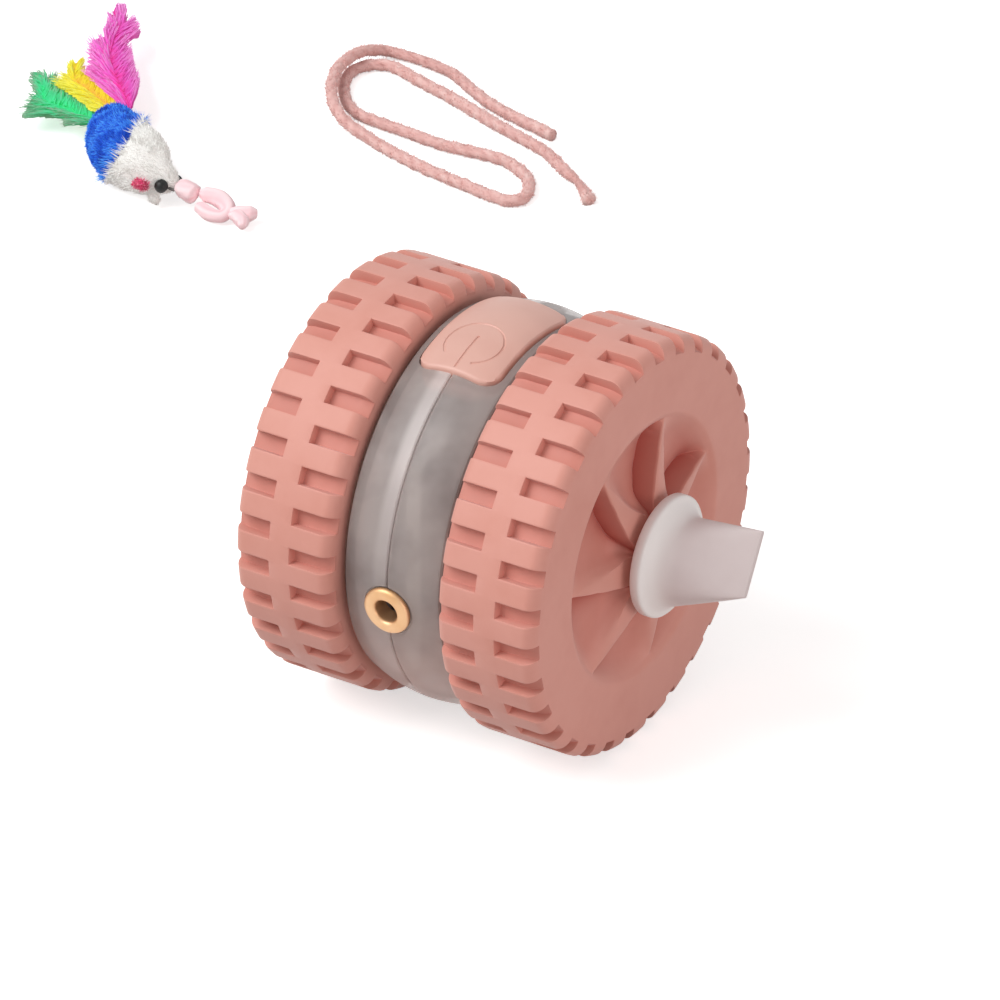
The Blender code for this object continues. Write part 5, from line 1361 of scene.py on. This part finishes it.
@dataclass(frozen=True)
class Mouse:
    """Plush mouse with a white front and a blue rump, its face, its feathers and its tie."""

    centre: tuple[float, float, float] = (-163.2, 124.6, 0.0)
    radius: float = 7.35
    border: tuple[float, float, float] = (-0.39, 0.26, 0.90)
    border_normal: tuple[float, float, float] = (0.866, 0.210, -0.454)
    stations: int = 64
    sides: int = 44
    body_pile: int = 15000
    rump_pile: int = 13000
    eye_r: float = 1.4
    eye_steps: tuple[int, int] = (25, 40)
    ear_points: int = 14
    ear_pile: int = 420
    plume_dip: float = 3.0

    def at(self, shares: Sequence[float]) -> np.ndarray:
        """Place from shares of the mouse's radius."""
        return np.array(self.centre) + np.array(shares[:3]) * self.radius

    def spine(self) -> tuple[np.ndarray, np.ndarray]:
        """Middle line of the body and its radius there."""
        rows = smooth_curve([tuple(station) for station in MOUSE_SHARES], self.stations)
        return np.array(self.centre) + rows[:, :3] * self.radius, np.maximum(rows[:, 3], 0.02) * self.radius

    def pelt(self, front: bool) -> tuple[np.ndarray, Faces]:
        """One end of the body, cut at the border between its colours.

        Args:
            front: Whether to keep the white front.

        Returns:
            Points and faces.
        """
        line, radii = self.spine()
        verts, faces = tube_mesh(line, radii - 0.45, self.sides)
        push = clumps(verts, 2.2, 0.35)
        middle = line[np.argmin(np.linalg.norm(verts[:, None] - line[None], axis=2), axis=1)]
        verts = verts + unit(verts - middle) * push[:, None]
        mesh = working_mesh(verts, faces)
        bmesh.ops.recalc_face_normals(mesh, faces=mesh.faces)
        place = Vector(self.at(self.border)) + Vector(self.border_normal) * (0.15 if front else -0.15)
        geometry = list(mesh.verts) + list(mesh.edges) + list(mesh.faces)
        cut = bmesh.ops.bisect_plane(mesh, geom=geometry, plane_co=place, plane_no=Vector(self.border_normal),
                                     clear_inner=front, clear_outer=not front)
        rim = [item for item in cut["geom_cut"] if isinstance(item, bmesh.types.BMEdge)]
        bmesh.ops.holes_fill(mesh, edges=rim)
        mesh.verts.index_update()
        result = np.array([tuple(vert.co) for vert in mesh.verts])
        corners = [tuple(vert.index for vert in face.verts) for face in mesh.faces]
        mesh.free()
        return result, corners

    def fur(self, verts: np.ndarray, faces: Faces, count: int, length: tuple[float, float], rise: float,
            rng: np.random.Generator) -> tuple[np.ndarray, Faces, np.ndarray]:
        """Pile that lies back from the nose, with its tints.

        Args:
            verts: Points of the skin.
            faces: Faces of the skin.
            count: Number of strands.
            length: Shortest and longest strand.
            rise: How far the strands stand up, from 0 to 1.
            rng: Source of the strands.

        Returns:
            Points, faces and the tint at each point.
        """
        line, _ = self.spine()
        along = unit(np.gradient(line, axis=0))
        roots, normals = scatter(verts, faces, count, rng)
        nearest = np.argmin(np.linalg.norm(roots[:, None] - line[None], axis=2), axis=1)
        back = -along[nearest]
        back = unit(back - normals * np.sum(back * normals, axis=1, keepdims=True))
        wave = np.array([noise.noise(Vector(root / 3.0)) for root in roots])
        lean = normals * rise + back * (1 - rise) + rng.normal(size=normals.shape) * 0.22
        lean += np.cross(normals, back) * wave[:, None] * 0.9
        lengths = rng.uniform(*length, count)
        beside = np.abs((roots - self.at(self.border)) @ np.array(self.border_normal)) < 1.3
        lengths[beside] *= 1.3 + 1.4 * (wave[beside] > 0.0)
        verts, faces = strand_mesh(roots - normals * 0.1, lean, lengths, 0.17, back * 0.5, rng)
        verts[:, 2] = np.maximum(verts[:, 2], 0.03)
        tint = np.repeat(np.clip(0.5 + wave * 0.9 + rng.normal(size=count) * 0.16, 0.0, 1.0), 5)
        # painted shade at the roots of the strands and painted light at their tips
        tint = tint + np.tile([-0.2, -0.2, 0.0, 0.0, 0.15], count)
        return verts, faces, tint

    def body(self) -> None:
        """Add the white front with its foot, and the blue rump."""
        rng = np.random.default_rng(11)
        verts, faces = self.pelt(True)
        foot_line = smooth_curve([(-153.9, 119.6, 2.9), (-154.5, 119.0, 2.2), (-154.9, 118.6, 1.6)], 8)
        foot = tube_mesh(foot_line, np.array([0.5, 1.1, 1.35, 1.45, 1.4, 1.2, 0.8, 0.2]), 16)
        skin = join([(verts, faces), foot])
        hair, hair_faces, tint = self.fur(*skin, self.body_pile, (0.5, 1.1), 0.3, rng)
        whole = join([skin, (hair, hair_faces)])
        tint = np.concatenate([np.full(len(skin[0]), 0.45), tint])
        front = place_mesh("plush_front", *whole, WHITE_FUR, "mouse", Slot.WHITE_FUR, ["mouse_body"],
                           sharp=180.0, tint=tint, closed=False)
        verts, faces = self.pelt(False)
        hair, hair_faces, tint = self.fur(verts, faces, self.rump_pile, (0.6, 1.3), 0.36, rng)
        whole = join([(verts, faces), (hair, hair_faces)])
        tint = np.concatenate([np.full(len(verts), 0.25), tint])
        rump = place_mesh("plush_rump", *whole, BLUE_FUR, "mouse", Slot.BLUE_FUR, ["mouse_rump"], sharp=180.0,
                          tint=tint, closed=False)

    def face(self) -> None:
        """Add both eyes, both ears and the nose thread."""
        rng = np.random.default_rng(5)
        eyes = {"right": (1.47, -0.79, 0.79), "left": (1.38, 0.08, 0.50)}
        ears = {"right": ((0.99, -1.05, 0.84), 16.0), "left": ((0.98, 0.26, 0.48), -13.0)}
        for side in ("right", "left"):
            middle = self.at(eyes[side])
            rows, cols = self.eye_steps
            turn = np.linspace(0.0, math.pi, rows)
            profile = np.stack([np.sin(turn) * (1 + 0.03 * np.cos(6 * turn)), np.cos(turn)],
                               axis=1) * self.eye_r
            angle = np.linspace(0.0, 2 * math.pi, cols, endpoint=False)
            circle = np.stack([np.cos(angle), np.zeros(cols), np.sin(angle)], axis=1)
            ring = profile[:, 0][:, None, None] * circle[None]
            verts = (ring + profile[:, 1][:, None, None] * np.array([0.0, 1.0, 0.0])).reshape(-1, 3) + middle
            place_mesh(f"bead_eye_{side}", verts, grid_faces(rows, cols), BEAD, "mouse", Slot.BEAD,
                       [f"mouse_eye_{side}"], closed=False)
            place, heading = ears[side]
            middle = self.at(place)
            out = -1.0 if side == "right" else 1.0
            line = smooth_curve([(-1.7, 0.0, 0.0), (-0.8, 0.0, 0.1), (0.4, 0.0, 0.0), (1.7, 0.0, -0.1)],
                                self.ear_points)
            shape = np.sqrt(np.maximum(1 - (np.linspace(-1, 1, self.ear_points) ** 2), 0.02))
            felt, felt_faces = tube_mesh(line, shape * 1.15, 18)
            felt[:, 1] *= 0.5
            felt += clumps(felt + 50.0, 0.8, 0.25)[:, None] * np.array([0.3, 1.0, 1.0])
            roots, normals = scatter(felt, felt_faces, self.ear_pile, rng)
            hair, hair_faces = strand_mesh(roots, normals + rng.normal(size=normals.shape) * 0.5,
                                           rng.uniform(0.3, 0.8, self.ear_pile), 0.16,
                                           rng.normal(size=normals.shape) * 0.3, rng)
            verts, faces = join([(felt, felt_faces), (hair, hair_faces)])
            spin = math.radians(heading)
            turned = np.stack([verts[:, 0] * math.cos(spin) - verts[:, 1] * math.sin(spin),
                               verts[:, 0] * math.sin(spin) + verts[:, 1] * math.cos(spin), verts[:, 2]],
                               axis=1)
            rear = np.clip((felt[:, 0] + 0.2) / 2.0, 0.0, 1.0)
            hair_tint = np.clip(rng.normal(0.7, 0.25, self.ear_pile), 0, 1)
            tint = np.concatenate([0.6 - 0.55 * rear, np.repeat(hair_tint, 5)])
            place_mesh(f"felt_ear_{side}", turned + middle + np.array([0.0, out * 0.35, 0.0]), faces, FELT,
                       "mouse", Slot.FELT, [f"mouse_ear_{side}"], sharp=180.0, tint=tint, closed=False)
        nose = smooth_curve([(-151.7, 120.3, 4.9), (-150.7, 120.4, 4.7), (-150.0, 120.7, 4.5)], 8)
        verts, faces = tube_mesh(nose, np.array([0.15, 0.3, 0.34, 0.3, 0.32, 0.3, 0.2, 0.05]), 8)
        place_mesh("nose_stitch", verts, faces, STITCH, "mouse", Slot.BEAD, closed=True)

    def tie(self) -> None:
        """Add the jersey tie: a collar, a loop of two strands and a knot with two ends."""
        rng = np.random.default_rng(3)
        route = ((1.72, -0.33, 0.66), (1.92, -0.36, 0.64), (2.12, -0.39, 0.61), (2.36, -0.42, 0.58))
        collar = smooth_curve([self.at(place) for place in route], 22)
        shape = np.interp(np.linspace(0, 1, 22), (0.0, 0.08, 0.3, 0.7, 0.93, 1.0),
                          (0.7, 1.7, 2.15, 2.2, 2.05, 0.9))
        self.jersey("tie_collar", collar, shape, ["mouse_tie_collar"], rng)
        loop = smooth_curve([self.at(place) for place in TIE_SHARES], 70)
        width = np.interp(np.linspace(0, 1, 70), (0.0, 0.06, 0.25, 0.42, 0.5, 0.62, 0.8, 0.96, 1.0),
                          (0.9, 1.6, 1.95, 1.75, 1.35, 1.4, 1.6, 1.35, 0.7))
        self.jersey("tie_loop", loop, width, ["mouse_tie_loop"], rng)
        ends = [
            ([(3.45, -0.36, 0.33), (3.70, -0.30, 0.35), (3.98, -0.12, 0.34), (4.10, -0.02, 0.32)],
             (1.0, 1.7, 1.75, 0.9)),
            ([(3.50, -0.40, 0.30), (3.74, -0.42, 0.33), (3.98, -0.58, 0.28), (4.08, -0.74, 0.24)],
             (1.1, 1.75, 1.5, 0.8)),
        ]
        parts, tints = [], []
        for route, widths in ends:
            line = smooth_curve([self.at(place) for place in route], 26)
            radii = np.interp(np.linspace(0, 1, 26), (0.0, 0.3, 0.75, 1.0), widths)
            verts, faces, tint = self.jersey_mesh(line, radii, rng)
            parts.append((verts, faces))
            tints.append(tint)
        verts, faces = join(parts)
        place_mesh("tie_knot", verts, faces, JERSEY, "mouse", Slot.TIE, ["mouse_tie_knot"], sharp=180.0,
                   tint=np.concatenate(tints), closed=False)

    def jersey_mesh(self, line: np.ndarray, radii: np.ndarray,
                    rng: np.random.Generator) -> tuple[np.ndarray, Faces, np.ndarray]:
        """Soft rolled strip of jersey with shallow creases along it.

        Args:
            line: Its middle line.
            radii: Half its width along the line.
            rng: Source of its creases.

        Returns:
            Points, faces and tints, which paint shade into the creases.
        """
        sides = 28
        angle = np.linspace(0.0, 2 * math.pi, sides, endpoint=False)
        phase = rng.uniform(0, 6, 3)
        share = np.linspace(0, 1, len(line))[:, None]
        crease = (0.05 * np.cos(3 * angle[None] + phase[0] + 2.0 * share)
                  + 0.035 * np.cos(5 * angle[None] + phase[1])
                  + 0.03 * np.cos(7 * angle[None] + 9 * share + phase[2]))
        verts, faces = tube_mesh(line, radii[:, None] * (0.95 + crease), sides)
        verts[:, 2] = np.maximum(verts[:, 2], 0.05)
        # painted shade in the creases, paler on their ridges
        tint = np.concatenate([(0.6 + 5.0 * crease).ravel(), [0.5, 0.5]])
        return verts, faces, tint

    def jersey(self, name: str, line: np.ndarray, radii: np.ndarray, replaced: list[str],
               rng: np.random.Generator) -> None:
        """Add one strip of jersey."""
        verts, faces, tint = self.jersey_mesh(line, radii, rng)
        place_mesh(name, verts, faces, JERSEY, "mouse", Slot.TIE, replaced, sharp=180.0, tint=tint,
                   closed=False)

    def build(self) -> None:
        """Add the whole mouse."""
        self.body()
        self.face()
        self.tie()
        for i, plume in enumerate(PLUMES):
            plume.build(np.array(self.centre), self.radius, self.plume_dip, 21 + i)


@dataclass(frozen=True)
class Studio:
    """Camera at the photograph's angle, soft lights and a pale floor."""

    azimuth: float = 31.5
    elevation: float = 31.0
    distance: float = 1.665
    lens: float = 326.7
    right_mm: float = 0.73
    up_mm: float = 0.31
    world: float = 0.38
    key_place: tuple[float, float, float] = (-1.0, -1.1, 1.65)
    key_size: float = 1.4
    key_watts: float = 37.0
    fill_place: tuple[float, float, float] = (1.8, -0.4, 0.4)
    fill_size: float = 1.0
    fill_watts: float = 11.0
    fill_colour: str = "#FFF0EE"
    aim_m: tuple[float, float, float] = (0.0, 0.0, 0.03)
    bounce: str = "#B4ABA8"
    floor_reach: float = 4.0
    floor_glow: float = 0.6

    def camera(self) -> None:
        """Create the camera and make it the scene's."""
        turn, rise = math.radians(self.azimuth), math.radians(self.elevation)
        back = Vector((math.sin(turn) * math.cos(rise), -math.cos(turn) * math.cos(rise), math.sin(rise)))
        data = bpy.data.cameras.new("camera")
        data.lens = self.lens
        data.sensor_width = 36.0
        data.clip_end = 20.0
        item = bpy.data.objects.new("camera", data)
        right = Vector((math.cos(turn), math.sin(turn), 0.0))
        shift = right * self.right_mm + back.cross(right) * self.up_mm
        aim = Vector((0.0, 0.0, AXLE_H * METRES)) + shift * METRES
        item.location = aim + back * self.distance
        item.rotation_euler = (-back).to_track_quat("-Z", "Y").to_euler()
        bpy.context.scene.collection.objects.link(item)
        bpy.context.scene.camera = item

    def lamp(self, name: str, place: tuple[float, float, float], size: float, power: float,
             colour: str = "#FFFFFF") -> None:
        """Add a large soft lamp that faces the toy."""
        data = bpy.data.lights.new(name, "AREA")
        data.color = linear(colour)[:3]
        data.size = size
        data.energy = power
        item = bpy.data.objects.new(name, data)
        item.location = place
        item.rotation_euler = (Vector(self.aim_m) - Vector(place)).to_track_quat("-Z", "Y").to_euler()
        bpy.context.scene.collection.objects.link(item)

    def seen(self, tree: bpy.types.NodeTree) -> bpy.types.NodeSocket:
        """Socket that is 1 for rays from the camera, from mirrors and through clear pieces."""
        path = add_node(tree, "ShaderNodeLightPath")
        first = add_node(tree, "ShaderNodeMath", {"operation": "MAXIMUM"},
                         {0: path.outputs["Is Camera Ray"], 1: path.outputs["Is Glossy Ray"]})
        both = add_node(tree, "ShaderNodeMath", {"operation": "MAXIMUM"},
                        {0: first.outputs[0], 1: path.outputs["Is Transmission Ray"]})
        return both.outputs[0]

    def backdrop(self) -> None:
        """White surroundings that light the toy evenly."""
        world = bpy.data.worlds.new("studio")
        bpy.context.scene.world = world
        world.use_nodes = True
        tree = world.node_tree
        strength = add_node(tree, "ShaderNodeMapRange", {"To Min": self.world, "To Max": 1.0},
                            {"Value": self.seen(tree)})
        shade = tree.nodes["Background"]
        shade.inputs["Color"].default_value = linear("#FFFFFF")
        tree.links.new(strength.outputs[0], shade.inputs["Strength"])

    def floor(self) -> None:
        """Pale floor that keeps the toy's soft shadow."""
        data = bpy.data.meshes.new("floor")
        reach = self.floor_reach
        data.from_pydata([(-reach, -reach, 0.0), (reach, -reach, 0.0), (reach, reach, 0.0),
                          (-reach, reach, 0.0)], [], [(0, 1, 2, 3)])
        mat = bpy.data.materials.new("paper_sweep_matt")
        mat.use_nodes = True
        tree = mat.node_tree
        shader = tree.nodes["Principled BSDF"]
        shown = self.seen(tree)
        paper = add_node(tree, "ShaderNodeMix",
                         {"data_type": "RGBA", 6: linear(self.bounce), 7: linear("#F4F3F2")})
        tree.links.new(shown, paper.inputs[0])
        tree.links.new(paper.outputs[2], shader.inputs["Base Color"])
        shader.inputs["Roughness"].default_value = 0.9
        shader.inputs["Specular IOR Level"].default_value = 0.1
        shader.inputs["Emission Color"].default_value = linear("#FFFFFF")
        glow = add_node(tree, "ShaderNodeMath", {"operation": "MULTIPLY", 1: self.floor_glow}, {0: shown})
        tree.links.new(glow.outputs[0], shader.inputs["Emission Strength"])
        data.materials.append(mat)
        item = bpy.data.objects.new("floor", data)
        bpy.context.scene.collection.objects.link(item)

    def build(self) -> None:
        """Add everything round the toy."""
        bpy.context.scene.view_settings.view_transform = "Standard"
        self.camera()
        self.backdrop()
        self.floor()
        self.lamp("key_softbox", self.key_place, self.key_size, self.key_watts)
        self.lamp("fill_softbox", self.fill_place, self.fill_size, self.fill_watts, self.fill_colour)


def dress_cad(nodes: dict[str, bpy.types.Object]) -> int:
    """Give the CAD pieces that stay their own materials.

    Args:
        nodes: The CAD pieces by name.

    Returns:
        How many pieces were dressed.
    """
    done = 0
    for name, item in nodes.items():
        kind = name
        for side in ("right_", "left_"):
            kind = kind.removeprefix(side)
        kind = "case_screw" if kind.startswith("case_screw") else kind
        finish = CARRIED_OVER.get(kind, NYLON)
        item.data.materials.clear()
        item.data.materials.append(finish.material())
        done += 1
    return done


def main() -> None:
    """Build the whole scene in order."""
    logging.basicConfig(level=logging.INFO, format="%(message)s")
    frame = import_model()
    Studio().build()
    Rope().build()
    LOG.info("camera, lights and rope are in place")
    LOG.info("CAD pieces dressed: %d", dress_cad(frame["nodes"]))
    for side, turn in WHEEL_TURNS.items():
        Tyre().build(side, turn)
        Paddle().build(side)
        LOG.info("%s wheel done", side)
    Barrel().build()
    LOG.info("barrel done")
    Mouse().build()
    LOG.info("mouse done")


if __name__ == "__main__":
    main()
